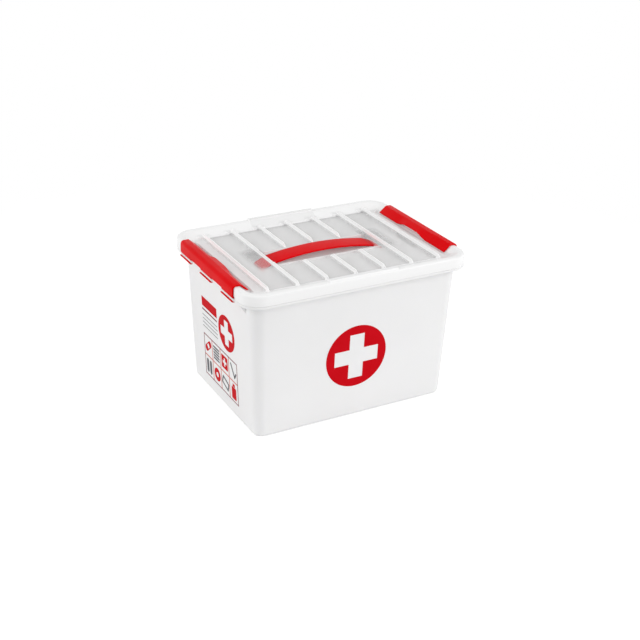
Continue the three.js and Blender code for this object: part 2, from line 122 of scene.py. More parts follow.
# Lid
LID_WALL = 1.8
RIDGE_TOP = LID_BOTTOM + 18.1
SKIRT_LEAN = 0.4
RIDGE_ROUND = 3.5
RIDGE_WIDTH = 10
END_RUN = 10.5
SIDE_RUN = 19.7
SLOPE_DROP = 8.7
END_SLOPE = math.hypot(END_RUN, SLOPE_DROP)
DOWN_X = END_RUN / END_SLOPE
DOWN_Z = SLOPE_DROP / END_SLOPE
SLOPE_SEARCH = (-1.6, 3.0)
SLOPE_HALVINGS = 24
PANEL_TOP = RIDGE_TOP - SLOPE_DROP
PANEL_Y = RIM_Y - RIDGE_WIDTH - SIDE_RUN
RIDGE_CORNER = RIM_CORNER - RIDGE_WIDTH
PANEL_CORNER = 14
PANEL_BLEND = 1.2
RIDGE_BLEND = 1
GUTTER_FLOOR = PANEL_TOP - 3.2
GUTTER_START_X = 150
GUTTER_INNER_X = 172
GUTTER_HALF = 110.5
GUTTER_INNER_SLOPE = 5
GUTTER_END_SLOPE = 4
GUTTER_OUTER_WALL = 1.3
GUTTER_BLEND = 1
GUTTER_CORNER_BLEND = 1.5
GUTTER_RIM_BLEND = 0.8
RIB_PITCH = 51
RIB_PAIRS = 3
LAST_RIB_X = RIB_PAIRS * RIB_PITCH
RIB_TOP = PANEL_TOP + 8.1
RIB_END_RUN = 12
RIB_SIDE_DROP = 5
RIB_SIDE_RUN = 12
RIB_SIDE_START = PANEL_Y - 3
RIB_WIDTH = 2.2
RIB_STEEPNESS = 9
RIB_ROUND = 0.5
RIB_BLEND = 0.9
ARCH_RADIUS = 14
ARCH_STEEPNESS = 4
ARCH_TOP = PANEL_TOP + 3.2
ARCH_ROUND = 1.2
ARCH_BLEND = 1.4
CELL_CORNER = 9
WEB_OVERLAP = 0.5
WELL_FLOOR = PANEL_TOP - 6.5
WELL_X = 92.9
WELL_END_SLOPE = 1.625
WELL_FRONT = -35.5
WELL_BACK = 17.8
WELL_SIDE_SLOPE = 12.8
WELL_RIM_FRONT = -37.6
WELL_RIM_BACK = 19.9
WELL_RIM_X = 2 * RIB_PITCH
WELL_RIM_TOP = PANEL_TOP + 2.2
WELL_CORNER_BLEND = 4
WELL_FLOOR_BLEND = 1.2
WINDOW_START = 90
WINDOW_OPEN = 93
WINDOW_END = 118
WINDOW_HALF = 30
WINDOW_FADE = 16
LUG_X = 61
LUG_TOP = LID_HIGH[2] / MM
LUG_OUTER = RIM_Y - 3.2
LUG_INNER = LUG_OUTER - 7
LUG_STEEPNESS = 7
LUG_ROUND = 1.5
LUG_SHOULDER = 1
LUG_REACH = 6
LUG_FOOT_X = 1
LUG_FOOT_Y = 0.4
LUG_BLEND = 0.5
NOTCH_BOTTOM = LID_BOTTOM + 3.2
NOTCH_HALF = CLIP_HALF_WIDTH + 2.5
NOTCH_DEPTH = 8

# The lid's grid lines, by their distance from the feature that they draw
GRID_SPACING = 5
RIB_LINES = (0, 0.55, 0.95, 1.1, 1.25, 1.45, 1.65, 1.8, 2.0, 2.4, 3.0)
CORNER_LINES = (3.8, 4.6, 5.4, 6.2, 7.2, 8.4, 9.8, 11.2, 12.6, 14, 15.4)
LUG_LINES = (-1, -0.4, 0, 0.15, 0.35, 0.8, 1.5)
WELL_END_LINES = (-1, 0, 1, 2, 3, 4, 5, 6)
WELL_SIDE_LINES = (-0.9, -0.6, -0.3, 0, 0.3, 0.8)
ARCH_LINES = (4, 5, 6, 7, 8, 9)
NOTCH_LINES = (-0.3, 0.3)
GUTTER_LINES = (-1, -0.3, 0.3, 0.8, 1.4)
EDGE_MARGIN = 0.4
FEATURE_MARGIN = 0.3
LINE_MARGIN = 0.11
CORNER_TURNS = 14

# The lid's rings, by their distance in from its outer edge
INNER_TOP_INSETS = (32, 30.8, 30, 29.2, 28, 26, 24, 22, 21.2, 20.5, 19.8, 18.5, 16.5, 14.5, 12.5)
OUTER_TOP_INSETS = (11.2, 10.6, 10.2, 9.9, 9.5, 8.8, 7, 5.4, 4.4)
UNDER_INSETS = (9, 10, 11, 13, 16, 18.5, 20, 21, 23, 26, 28.5, 30, 31.5)
SKIRT_RING_RISE = 8

# Strap handle
STRAP_HALF_WIDTH = 16.5
STRAP_THICKNESS = 3
STRAP_TOP = STRAP_HIGH[2] / MM
STRAP_SPAN = 90
STRAP_RISE = 8.4
STRAP_TAIL = 20.5
STRAP_TAIL_DROP = 8
STRAP_END_ROUND = 0.77
STRAP_EDGE_ROUND = 0.825
STRAP_STEPS = 96
STRAP_CLEARANCE = 0.8
STRAP_END_RUN = 0.9
SLOT_REACH = 4
SLOT_EDGE_ROUND = 0.3
BEAD_LENGTH = 3
BEAD_HEIGHT = 4.6
BEAD_DROP = 2.5
BEAD_ROUND = 0.6

# Clips
CLIP_GAP = 0.35
LIP_GAP = 0.75
CLIP_THICKNESS = 2.3
LIP_REACH = 2.5
TAB_LIFT = 5.6
TAB_HALF = 46
TAB_BLEND = 30
KNEE_RADIUS = 2.6
CLIP_END_ROUND = 0.6
CLIP_STEPS = 40

# Tray
TRAY_LOW, TRAY_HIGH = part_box("insert_tray")
TRAY_TOP = TRAY_HIGH[2] / MM
TRAY_BOTTOM = TRAY_LOW[2] / MM
TRAY_RIM_X = TRAY_HIGH[0] / MM
TRAY_RIM_Y = TRAY_HIGH[1] / MM
TRAY_BODY_X = TRAY_RIM_X - 3
TRAY_BODY_Y = BASE_Y + WALL_LEAN - WALL - 2.5
TRAY_LEAN = 4
TRAY_WALL = 1.8
TRAY_FLANGE = 1.8
TRAY_CORNER = 16
TRAY_ROUND = 3
TRAY_EDGE_ROUND = 0.6
TRAY_FILLET = 0.5
DIVIDER_LIFT = 0.6
DIVIDER_DROP = 11
DIVIDER_ROUND = 0.4
GRIP_HALF = 32
GRIP_DEPTH = 12
GRIP_ROUND = 5

# Printed labels
PRINT_THICKNESS = 0.12
PRINT_GAP = 0.03
FRONT_DISC_RADIUS = 55
FRONT_DISC_Z = 110.6
SIDE_DISC_RADIUS = 31
SIDE_DISC_Z = 143
SIDE_DISC_OFFSET = 28.3
CROSS_SHARE = 0.72
HEADER_HALF = 30
HEADER_OFFSET = -38
HEADER_LOW = 154
HEADER_HIGH = 171
PANEL_OFFSET = -2.3
PANEL_HALF_WIDTH = 65.5
PANEL_LOW = 26
PANEL_HIGH = 103
PANEL_COLUMNS = 4
PANEL_ROWS = 2
PANEL_LINE = 1.6
DIVIDER_LINE = 2.4
HEADER_RULE_Z = 148
HEADER_RULE = 2.4
RULE_HEIGHTS = (138, 131, 124, 117)
RULE_WIDTH = 1.1

# Tones
LID_CLEAR = (0.97, 0.97, 0.97, 1)
LID_MILKY = (0.92, 0.92, 0.92, 1)
CELL_ALPHA = 0.45
WINDOW_ALPHA = 0.15
MILKY_ALPHA = 0.98
LUG_CLEARNESS = 0.15
END_STRIP_MILKINESS = 0.8
TRAY_GLOW = 0.05
TUB_TONES = ((0.83, 0.83, 0.83), (0.86, 0.86, 0.86))
TRAY_TONES = ((0.92, 0.92, 0.92), (0.94, 0.94, 0.94))
CLIP_TONES = ((0.69, 0.001, 0.003), (0.74, 0.003, 0.006))
STRAP_TONES = ((0.70, 0.001, 0.004), (0.75, 0.003, 0.007))
PRINT_TONES = ((0.55, 0.001, 0.006), (0.58, 0.002, 0.009))
DARK_PRINT_TONES = ((0.17, 0.006, 0.012), (0.20, 0.010, 0.018))
PALE_PRINT_TONES = ((0.62, 0.24, 0.20), (0.66, 0.27, 0.23))
GREY_PRINT_TONES = ((0.12, 0.12, 0.13), (0.16, 0.16, 0.17))
RED_SHINE = 0.04

# Stage, where the floor's radius is in metres
WORLD_STRENGTH = 0.62
FLOOR_RADIUS = 1.6
FLOOR_GLOW = 0.36
FADE_START = 450
FADE_END = 1100

# Camera, fitted to the photograph's edges
CAMERA_TARGET = (0, 0, 120)
CAMERA_DISTANCE = 1953.1
CAMERA_AZIMUTH = -28.883
CAMERA_ELEVATION = 25.596
CAMERA_ROLL = 1.42
CAMERA_FOCAL_PIXELS = 1157.93
IMAGE_WIDTH = 640
CENTRE_X = 317.43
CENTRE_Y = 318.54
SENSOR = 36


# Smooth joins between surfaces given as heights

def smooth_max(a, b, blend):
    reach = np.maximum(blend - np.abs(a - b), 0) / blend
    return np.maximum(a, b) + reach * reach * blend / 4


def smooth_min(a, b, blend):
    return -smooth_max(-a, -b, blend)


def smooth_step(value):
    share = np.clip(value, 0, 1)
    return share * share * (3 - 2 * share)


# Mesh making

def make_piece(name, points, faces, sharp_angle=35):
    """A mesh object from points in millimetres, with faces that all look outward."""
    mesh = bpy.data.meshes.new(name)
    mesh.from_pydata([tuple(float(value) * MM for value in point) for point in points], [], faces)
    work = bmesh.new()
    work.from_mesh(mesh)
    bmesh.ops.remove_doubles(work, verts=work.verts, dist=0.00001)
    bmesh.ops.recalc_face_normals(work, faces=work.faces)
    work.to_mesh(mesh)
    work.free()
    piece = bpy.data.objects.new(name, mesh)
    bpy.context.scene.collection.objects.link(piece)
    shade(piece, sharp_angle)
    return piece


def shade(piece, sharp_angle):
    """Smooth shading, broken at edges sharper than an angle in degrees."""
    piece.data.shade_smooth()
    piece.data.set_sharp_from_angle(angle=math.radians(sharp_angle))


def combine(piece, others, operation):
    """Joins or cuts a piece with other solids, which are used up."""
    for other in others:
        modifier = piece.modifiers.new(operation.lower(), "BOOLEAN")
        modifier.operation = operation
        modifier.solver = "MANIFOLD"
        modifier.object = other
        bpy.context.view_layer.update()
        graph = bpy.context.evaluated_depsgraph_get()
        mesh = bpy.data.meshes.new_from_object(piece.evaluated_get(graph))
        piece.modifiers.clear()
        old = piece.data
        piece.data = mesh
        bpy.data.meshes.remove(old)
        bpy.data.objects.remove(other)


def ring_faces(rings, count):
    """Faces between neighbouring rings of equal counts."""
    faces = []
    for low in range(0, (rings - 1) * count, count):
        high = low + count
        for j in range(count):
            after = (j + 1) % count
            faces.append((low + j, high + j, high + after, low + after))
    return faces


def loft(name, rings):
    """A solid through rings of equal counts, with flat ends."""
    points = [point for ring in rings for point in ring]
    count = len(rings[0])
    ends = [tuple(range(start, start + count)) for start in (0, len(points) - count)]
    return make_piece(name, points, ring_faces(len(rings), count) + ends)


def quarter(steps):
    """Cosine and sine of the angles of a quarter turn."""
    angles = [i / steps * math.pi / 2 for i in range(steps + 1)]
    return [(math.cos(angle), math.sin(angle)) for angle in angles]


def quarter_round(ring, inset, z, run, rise, steps=3):
    """Rings round an edge, from upright at (inset, z + rise) to level at (inset + run, z)."""
    return [ring(inset + run * (1 - c), z + rise * (1 - s)) for c, s in quarter(steps)]


def arc(x, y, radius, start, end, steps):
    """Points from one angle to another, in degrees, or one point where there are no steps."""
    angles = [math.radians(start + (end - start) * i / max(steps, 1)) for i in range(steps + 1)]
    return [(x + radius * math.cos(angle), y + radius * math.sin(angle)) for angle in angles]


def circle(x, y, radius, steps=96):
    return arc(x, y, radius, 0, 360, steps)[:-1]


def rounded_corners(half_x, half_y, radius, steps):
    """Points round a rectangle's corners, in one list for each corner."""
    inner_x = half_x - radius
    inner_y = half_y - radius
    centres = ((inner_x, inner_y), (-inner_x, inner_y), (-inner_x, -inner_y), (inner_x, -inner_y))
    return [arc(*centre, radius, 90 * i, 90 * (i + 1), steps) for i, centre in enumerate(centres)]


def rounded_rectangle(half_x, half_y, radius, z, steps=10):
    """A level ring, whose straight sides are divided too."""
    corners = rounded_corners(half_x, half_y, radius, steps)
    shares = [step / steps for step in range(1, steps)]
    ring = []
    for corner, following in zip(corners, corners[1:] + corners[:1]):
        x0, y0 = corner[-1]
        x1, y1 = following[0]
        ring += corner + [(x0 + (x1 - x0) * share, y0 + (y1 - y0) * share) for share in shares]
    return [(x, y, z) for x, y in ring]


def between(ring_a, ring_b, share, z):
    """The ring that lies part of the way from one ring to another, at a height."""
    pairs = zip(ring_a, ring_b)
    return [(a[0] + (b[0] - a[0]) * share, a[1] + (b[1] - a[1]) * share, z) for a, b in pairs]


def along_y(name, sections):
    """A solid through outlines of (x, z), each given with its y."""
    return loft(name, [[(x, y, z) for x, z in outline] for y, outline in sections])


def cylinder_along_y(name, x, z, radius, ends, steps=40):
    return along_y(name, [(y, circle(x, z, radius, steps)) for y in ends])


def rounded_block(name, low, high, radius):
    """A block with all its edges rounded."""
    piece = make_piece(
        name,
        [(x, y, z) for x in (low[0], high[0]) for y in (low[1], high[1]) for z in (low[2], high[2])],
        [(0, 1, 3, 2), (4, 6, 7, 5), (0, 4, 5, 1), (2, 3, 7, 6), (0, 2, 6, 4), (1, 5, 7, 3)],
    )
    work = bmesh.new()
    work.from_mesh(piece.data)
    bmesh.ops.bevel(work, geom=work.edges[:], offset=radius * MM, segments=3, profile=0.5, affect="EDGES")
    work.to_mesh(piece.data)
    work.free()
    return piece


# Tub

def wall_ring(inset, z):
    share = z / TUB_HEIGHT
    lean = WALL_LEAN * share
    radius = BASE_CORNER + (TOP_CORNER - BASE_CORNER) * share - inset
    return rounded_rectangle(BASE_X + lean - inset, BASE_Y + lean - inset, max(radius, 2), z)


def rim_ring(inset, z):
    return rounded_rectangle(RIM_X - inset, RIM_Y - inset, RIM_CORNER - inset, z)


def tub_shell():
    """The tub's rings, up its outside, over the flange and the upstand, and down its inside."""
    flange_low = TUB_HEIGHT - FLANGE
    lip_low = TUB_HEIGHT - LIP_DEPTH
    wall_end = flange_low - FLANGE_FILLET
    span = RIM_Y - LIP_WIDTH - BASE_Y - WALL_LEAN
    edge = EDGE_ROUND
    inner = UPSTAND_INSET + UPSTAND_WIDTH
    inner_round = BASE_ROUND - 1

    def under_flange(share, z=flange_low):
        return between(wall_ring(0, flange_low), rim_ring(LIP_WIDTH, flange_low), share, z)

    rings = quarter_round(wall_ring, 0, 0, BASE_ROUND, BASE_ROUND, 7)[::-1]
    rings += [wall_ring(0, z) for z in range(OUTER_RING_STEP, int(wall_end), OUTER_RING_STEP)]
    rings.append(wall_ring(0, wall_end - 1))
    rings += quarter_round(under_flange, 0, flange_low, FLANGE_FILLET / span, -FLANGE_FILLET, 4)
    rings.append(under_flange(1 - LIP_FILLET / span))
    rings.append(rim_ring(LIP_WIDTH, flange_low - LIP_FILLET))
    rings += quarter_round(rim_ring, LIP_WIDTH, lip_low, -edge, edge)
    rings += quarter_round(rim_ring, 0, lip_low, edge, edge)[::-1]
    rings += quarter_round(rim_ring, 0, TUB_HEIGHT, edge, -edge)
    rings += quarter_round(rim_ring, UPSTAND_INSET, TUB_HEIGHT, -UPSTAND_FILLET, UPSTAND_FILLET)[::-1]
    rings += quarter_round(rim_ring, UPSTAND_INSET, UPSTAND_TOP, UPSTAND_ROUND, -UPSTAND_ROUND)
    rings += quarter_round(rim_ring, inner, UPSTAND_TOP, -UPSTAND_ROUND, -UPSTAND_ROUND)[::-1]
    rings += [rim_ring(inner, TUB_HEIGHT + edge), rim_ring(inner + edge, TUB_HEIGHT)]
    ledge_start = rim_ring(inner, TUB_HEIGHT)
    rings.append(between(ledge_start, wall_ring(WALL, TUB_HEIGHT), LEDGE_SHARE, TUB_HEIGHT))
    rings.append(wall_ring(WALL, TUB_HEIGHT - LEDGE_ROUND))
    heights = range(INNER_RING_STEP, int(TUB_HEIGHT), INNER_RING_STEP)
    rings += [wall_ring(WALL, z) for z in reversed(heights)]
    rings += quarter_round(wall_ring, WALL, FLOOR, inner_round, inner_round, 5)
    return loft("tub_shell", rings)


def gusset(side, y):
    """A triangular web under the flange on one short end, sunk into the wall and the flange."""
    low = TUB_HEIGHT - FLANGE - GUSSET_DROP
    wall_x = side * (BASE_X + WALL_LEAN * low / TUB_HEIGHT - SUNK)
    tip_x = side * (RIM_X - LIP_WIDTH / 2)
    outline = [
        (wall_x, low),
        (tip_x, TUB_HEIGHT - LIP_DEPTH + GUSSET_TIP_LIFT),
        (tip_x, TUB_HEIGHT - SUNK),
        (wall_x, TUB_HEIGHT - SUNK),
    ]
    return along_y("gusset", [(y + sign * GUSSET_WIDTH / 2, outline) for sign in (-1, 1)])


def make_tub():
    tub = tub_shell()
    slots = []
    additions = []
    slot_half = KNUCKLE_WIDTH / 2 + SLOT_SIDE_GAP
    bar_half = slot_half + BAR_SUNK
    for side in (-1, 1):
        x = side * BAR_X
        for index in (-1, 0, 1):
            y = index * KNUCKLE_PITCH
            slot_ends = (y - slot_half, y + slot_half)
            bar_ends = (y - bar_half, y + bar_half)
            slots.append(cylinder_along_y("slot", x, BAR_Z, SLOT_RADIUS, slot_ends))
            additions.append(cylinder_along_y("bar", x, BAR_Z, BAR_RADIUS, bar_ends, 24))
        for sign in (-1, 1):
            additions.append(gusset(side, sign * GUSSET_Y))
    combine(tub, slots, "DIFFERENCE")
    combine(tub, additions, "UNION")
    tub.name = "tub_body"
    shade(tub, 32)
    return tub


# Lid

def slope_share(x, y):
    """How far down the slope a point lies: 0 on the ridge's inner edge, 1 on the panel's edge."""
    low, high = [np.full_like(x, limit) for limit in SLOPE_SEARCH]
    for _ in range(SLOPE_HALVINGS):
        middle = (low + high) / 2
        radius = np.maximum(RIDGE_CORNER - (RIDGE_CORNER - PANEL_CORNER) * middle, 1)
        out_x = x - (RIM_X - RIDGE_WIDTH - END_RUN * middle - radius)
        out_y = y - (RIM_Y - RIDGE_WIDTH - SIDE_RUN * middle - radius)
        outside = np.hypot(np.maximum(out_x, 0), np.maximum(out_y, 0))
        distance = outside + np.minimum(np.maximum(out_x, out_y), 0) - radius
        high = np.where(distance > 0, middle, high)
        low = np.where(distance > 0, low, middle)
    return (low + high) / 2


def base_height(x, y, drop):
    """Ridge, slope and panel, without the ribs."""
    line = RIDGE_TOP - SLOPE_DROP * slope_share(x, y)
    return smooth_min(RIDGE_TOP - drop, smooth_max(PANEL_TOP - drop, line - drop, PANEL_BLEND), RIDGE_BLEND)


def with_gutters(z, x, y, drop):
    """The low strips at the short ends, where the clips' lips lie."""
    floor = GUTTER_FLOOR - drop
    outer = RIDGE_TOP - SLOPE_DROP * (x - RIM_X + RIDGE_WIDTH) / -END_RUN - GUTTER_OUTER_WALL * drop
    inner = floor + GUTTER_INNER_SLOPE * (GUTTER_INNER_X - drop - x)
    ends = floor + GUTTER_END_SLOPE * (y - GUTTER_HALF - drop)
    walls = smooth_max(inner, ends, GUTTER_CORNER_BLEND)
    gutter = smooth_max(smooth_max(floor, outer, GUTTER_BLEND), walls, GUTTER_BLEND)
    return np.where(x > GUTTER_START_X, smooth_min(z, gutter, GUTTER_RIM_BLEND), z)


def with_well(z, x, y, drop):
    """The hand well under the strap."""
    floor = WELL_FLOOR - drop
    ends = floor + WELL_END_SLOPE * (x - WELL_X - drop)
    front = floor + WELL_SIDE_SLOPE * (WELL_FRONT - drop - y)
    back = floor + WELL_SIDE_SLOPE * (y - WELL_BACK - drop)
    walls = smooth_max(ends, np.maximum(front, back), WELL_CORNER_BLEND)
    return np.minimum(z, smooth_max(walls, floor, WELL_FLOOR_BLEND))


def with_ribs(z, x, y):
    """Cross ribs, which slope down towards the ridge and the hand well, and the well's low rims."""
    half = RIB_WIDTH / 2
    rib_top = RIB_TOP - RIB_SIDE_DROP * smooth_step((np.abs(y) - RIB_SIDE_START) / RIB_SIDE_RUN)
    from_well = np.maximum(WELL_RIM_FRONT - y, y - WELL_RIM_BACK)
    slope_down = (RIB_TOP - WELL_RIM_TOP) * (1 - smooth_step(from_well / RIB_END_RUN))
    highest = np.full_like(z, -1000.0)
    for index in range(-RIB_PAIRS, RIB_PAIRS + 1):
        away = np.abs(x - index * RIB_PITCH)
        at_well = abs(index) < 2
        top = rib_top - slope_down if at_well else rib_top
        highest = np.maximum(highest, top - RIB_STEEPNESS * np.maximum(away - half, 0))
    highest = smooth_min(highest, rib_top, RIB_ROUND)
    for row in (WELL_RIM_FRONT, WELL_RIM_BACK):
        away = np.maximum(np.abs(y - row) - half, 0)
        past = np.maximum(np.abs(x) - WELL_RIM_X, 0)
        highest = np.maximum(highest, WELL_RIM_TOP - RIB_STEEPNESS * (away + past))
    return smooth_max(z, highest, RIB_BLEND)


def with_corner_webs(z, x, y):
    """Fills corners, round in plan: between the ribs and the well's rims, and at the back slope."""
    index = np.clip(np.round(x / RIB_PITCH), -RIB_PAIRS, RIB_PAIRS)
    from_rib = np.abs(x - index * RIB_PITCH) - RIB_WIDTH / 2
    from_rim = np.maximum(WELL_RIM_FRONT - y, y - WELL_RIM_BACK) - RIB_WIDTH / 2
    beside_rim = (np.abs(x) < WELL_RIM_X) & (from_rim > -WEB_OVERLAP)
    gap_x = np.clip(CELL_CORNER - from_rib, 0, CELL_CORNER)
    gap_y = np.where(beside_rim, np.clip(CELL_CORNER - from_rim, 0, CELL_CORNER), 0)
    webs = PANEL_TOP + RIB_STEEPNESS * (np.hypot(gap_x, gap_y) - CELL_CORNER)
    z = smooth_max(z, np.minimum(webs, WELL_RIM_TOP), RIB_BLEND)
    gap_x = np.clip(ARCH_RADIUS - from_rib, 0, ARCH_RADIUS)
    gap_y = np.clip(y - PANEL_Y + ARCH_RADIUS, 0, ARCH_RADIUS)
    arches = PANEL_TOP + ARCH_STEEPNESS * (np.hypot(gap_x, gap_y) - ARCH_RADIUS)
    return smooth_max(z, smooth_min(arches, ARCH_TOP, ARCH_ROUND), ARCH_BLEND)


def with_lugs(z, x, y):
    """The raised lug in the middle of each long side."""
    past_end = np.maximum(x - LUG_X, 0)
    past_side = np.maximum(np.maximum(y - LUG_OUTER, LUG_INNER - y), 0)
    lug = smooth_min(LUG_TOP, LUG_TOP + LUG_SHOULDER - LUG_STEEPNESS * (past_end + past_side), LUG_ROUND)
    return np.where(y > LUG_INNER - LUG_REACH, smooth_max(z, lug, LUG_BLEND), z)


def lid_height(x, y, drop):
    """Height of the lid's top, or of its underside where it drops by the wall."""
    x = np.asarray(x, float)
    y = np.asarray(y, float)
    away_x = np.abs(x)
    away_y = np.abs(y)
    z = base_height(away_x, away_y, drop)
    if not drop:
        z = with_corner_webs(with_ribs(z, x, y), x, y)
    z = with_well(with_gutters(z, away_x, away_y, drop), away_x, y, drop)
    return z if drop else with_lugs(z, away_x, away_y)


def lid_top(x, y):
    return lid_height(x, y, 0)


def lid_under(x, y):
    return lid_height(x, y, LID_WALL)


def lid_lines(limit, features):
    """Grid lines from -limit to limit: even ones, and extra ones round each feature."""
    features = [feature for feature in features if abs(feature) < limit - EDGE_MARGIN]
    even = np.arange(-limit, limit + 0.01, 2 * limit / round(2 * limit / GRID_SPACING))
    clear = [line for line in even if all(abs(line - feature) > FEATURE_MARGIN for feature in features)]
    lines = sorted(set(round(line, 3) for line in clear + features))
    kept = [lines[0]]
    for line in lines[1:]:
        if line - kept[-1] > LINE_MARGIN:
            kept.append(line)
    kept[-1] = limit
    return kept


def mirrored(values):
    return [sign * value for value in values for sign in (-1, 1)]


def lid_features():
    """Places along and across the lid where its surface turns sharply."""
    ribs = [index * RIB_PITCH for index in range(-RIB_PAIRS, RIB_PAIRS + 1)]
    along = [rib + offset for rib in ribs for offset in mirrored(RIB_LINES + CORNER_LINES)]
    along += mirrored(LUG_X + offset for offset in LUG_LINES)
    along += mirrored(WELL_X + offset for offset in WELL_END_LINES)
    across = [row + offset for row in (WELL_RIM_FRONT, WELL_RIM_BACK) for offset in mirrored(RIB_LINES)]
    across += [WELL_FRONT + offset for offset in WELL_SIDE_LINES]
    across += [WELL_BACK - offset for offset in WELL_SIDE_LINES]
    across += [WELL_RIM_FRONT - offset for offset in CORNER_LINES]
    across += [WELL_RIM_BACK + offset for offset in CORNER_LINES]
    across += mirrored(PANEL_Y - offset for offset in ARCH_LINES)
    across += mirrored(NOTCH_HALF + offset for offset in NOTCH_LINES)
    across += mirrored(GUTTER_HALF + offset for offset in GUTTER_LINES)
    return along, across


def lid_border(core_x, core_y, lines_x, lines_y):
    """Nodes round the lid: a point on its core rectangle and the direction outward from there."""
    sides = (
        [(core_x, y) for y in lines_y],
        [(x, core_y) for x in reversed(lines_x)],
        [(-core_x, y) for y in reversed(lines_y)],
        [(x, -core_y) for x in lines_x],
    )
    outward = ((1, 0), (0, 1), (-1, 0), (0, -1))
    corners = ((core_x, core_y), (-core_x, core_y), (-core_x, -core_y), (core_x, -core_y))
    nodes = []
    for index in range(4):
        nodes += [point + outward[index] for point in sides[index]]
        for turn in range(1, CORNER_TURNS):
            angle = (index + turn / CORNER_TURNS) * math.pi / 2
            nodes.append(corners[index] + (math.cos(angle), math.sin(angle)))
    return nodes


def level(z):
    return lambda x, y: np.full_like(x, z)


def bottom_edge(rise):
    """Height of the skirt's lower edge, which is cut up where a clip passes it."""
    def height(x, y):
        in_notch = (np.abs(x) > RIM_X - NOTCH_DEPTH) & (np.abs(y) < NOTCH_HALF)
        return np.where(in_notch, NOTCH_BOTTOM, LID_BOTTOM) + rise
    return height


def rounded_ridge(z):
    """Height of the ridge's outer round, from which the lugs stand up."""
    def height(x, y):
        along_lug = np.abs(x) < LUG_X + LUG_FOOT_X
        across_lug = (np.abs(y) < LUG_OUTER + LUG_FOOT_Y) & (np.abs(y) > RIM_Y - RIDGE_WIDTH)
        return np.where(along_lug & across_lug, np.maximum(z, lid_top(x, y)), z)
    return height


def lid_rings(nodes):
    """The lid's rings, from its top's inner edge over the ridge and the skirt to its underside."""
    core_x, core_y, out_x, out_y = np.array(nodes).T
    edge = EDGE_ROUND
    under_round = RIDGE_ROUND - LID_WALL / 2

    def ring(inset, height):
        x = core_x + (RIM_CORNER - inset) * out_x
        y = core_y + (RIM_CORNER - inset) * out_y
        return np.column_stack((x, y, height(x, y)))

    def rounds(height_from, *sizes):
        return quarter_round(lambda inset, z: ring(inset, height_from(z)), *sizes)

    rings = [ring(inset, lid_top) for inset in INNER_TOP_INSETS + OUTER_TOP_INSETS]
    rings += rounds(rounded_ridge, SKIRT_LEAN, RIDGE_TOP, RIDGE_ROUND, -RIDGE_ROUND, 7)[::-1]
    rings.append(ring(SKIRT_LEAN / 2, level(LID_BOTTOM + SKIRT_RING_RISE)))
    rings += rounds(bottom_edge, 0, 0, edge, edge)
    rings += rounds(bottom_edge, LID_WALL, 0, -edge, edge)[::-1]
    rings += rounds(level, LID_WALL + SKIRT_LEAN, RIDGE_TOP - LID_WALL, under_round, -under_round, 5)
    return rings + [ring(inset, lid_under) for inset in UNDER_INSETS]


def grid_faces(start, count_x, count_y):
    faces = []
    for i in range(count_x - 1):
        for j in range(count_y - 1):
            corner = start + i * count_y + j
            faces.append((corner, corner + count_y, corner + count_y + 1, corner + 1))
    return faces


def seam_faces(start, border, ring_start):
    """Faces between a grid's border and the ring next to it."""
    faces = []
    count = len(border)
    for j in range(count):
        after = (j + 1) % count
        face = [start + border[j], ring_start + j, ring_start + after, start + border[after]]
        if border[j] == border[after]:
            face.pop()
        faces.append(tuple(face))
    return faces


def make_lid():
    """A shell of rings, closed above and below by a grid inside the innermost ring."""
    core_x = RIM_X - RIM_CORNER
    core_y = RIM_Y - RIM_CORNER
    along, across = lid_features()
    lines_x = lid_lines(core_x, along)
    lines_y = lid_lines(core_y, across)
    nodes = lid_border(core_x, core_y, lines_x, lines_y)
    rings = lid_rings(nodes)
    points = np.concatenate(rings)
    faces = ring_faces(len(rings), len(nodes))
    index_x = {round(x, 3): i for i, x in enumerate(lines_x)}
    index_y = {round(y, 3): i for i, y in enumerate(lines_y)}
    border = [index_x[round(node[0], 3)] * len(lines_y) + index_y[round(node[1], 3)] for node in nodes]
    grid_x, grid_y = [part.ravel() for part in np.meshgrid(lines_x, lines_y, indexing="ij")]
    last_ring = (len(rings) - 1) * len(nodes)
    for height, ring_start in ((lid_top, 0), (lid_under, last_ring)):
        start = len(points)
        points = np.concatenate((points, np.column_stack((grid_x, grid_y, height(grid_x, grid_y)))))
        faces += grid_faces(start, len(lines_x), len(lines_y))
        faces += seam_faces(start, border, ring_start)
    lid = make_piece("lid_shell", points, faces, 60)
    combine(lid, [strap_slot(sign) for sign in (-1, 1)], "DIFFERENCE")
    shade(lid, 55)
    return lid


def strap_slot(sign):
    """A solid that cuts the strap's way through one end of the hand well."""
    inner = WELL_X - LID_WALL
    outer = WELL_X + SLOT_REACH + 2 * LID_WALL
    low = strap_height(outer) - STRAP_THICKNESS - STRAP_CLEARANCE
    high = strap_height(inner) + STRAP_CLEARANCE
    reach = STRAP_HALF_WIDTH + STRAP_CLEARANCE
    xs = sorted((sign * inner, sign * outer))
    return rounded_block("strap_slot", (xs[0], -reach, low), (xs[1], reach, high), SLOT_EDGE_ROUND)


# Strap handle

def strap_height(x):
    """Height of the strap's upper face."""
    away = abs(x)
    if away <= STRAP_SPAN:
        return STRAP_TOP - STRAP_RISE * (away / STRAP_SPAN) ** 2
    return STRAP_TOP - STRAP_RISE - (away - STRAP_SPAN) * STRAP_TAIL_DROP / STRAP_TAIL


def strap_section(half_width, thickness):
    """Outline of the strap across its length, as (y, height above the underside)."""
    corners = rounded_corners(half_width, thickness / 2, STRAP_EDGE_ROUND, 4)
    return [(y, thickness / 2 + z) for corner in corners for y, z in corner]


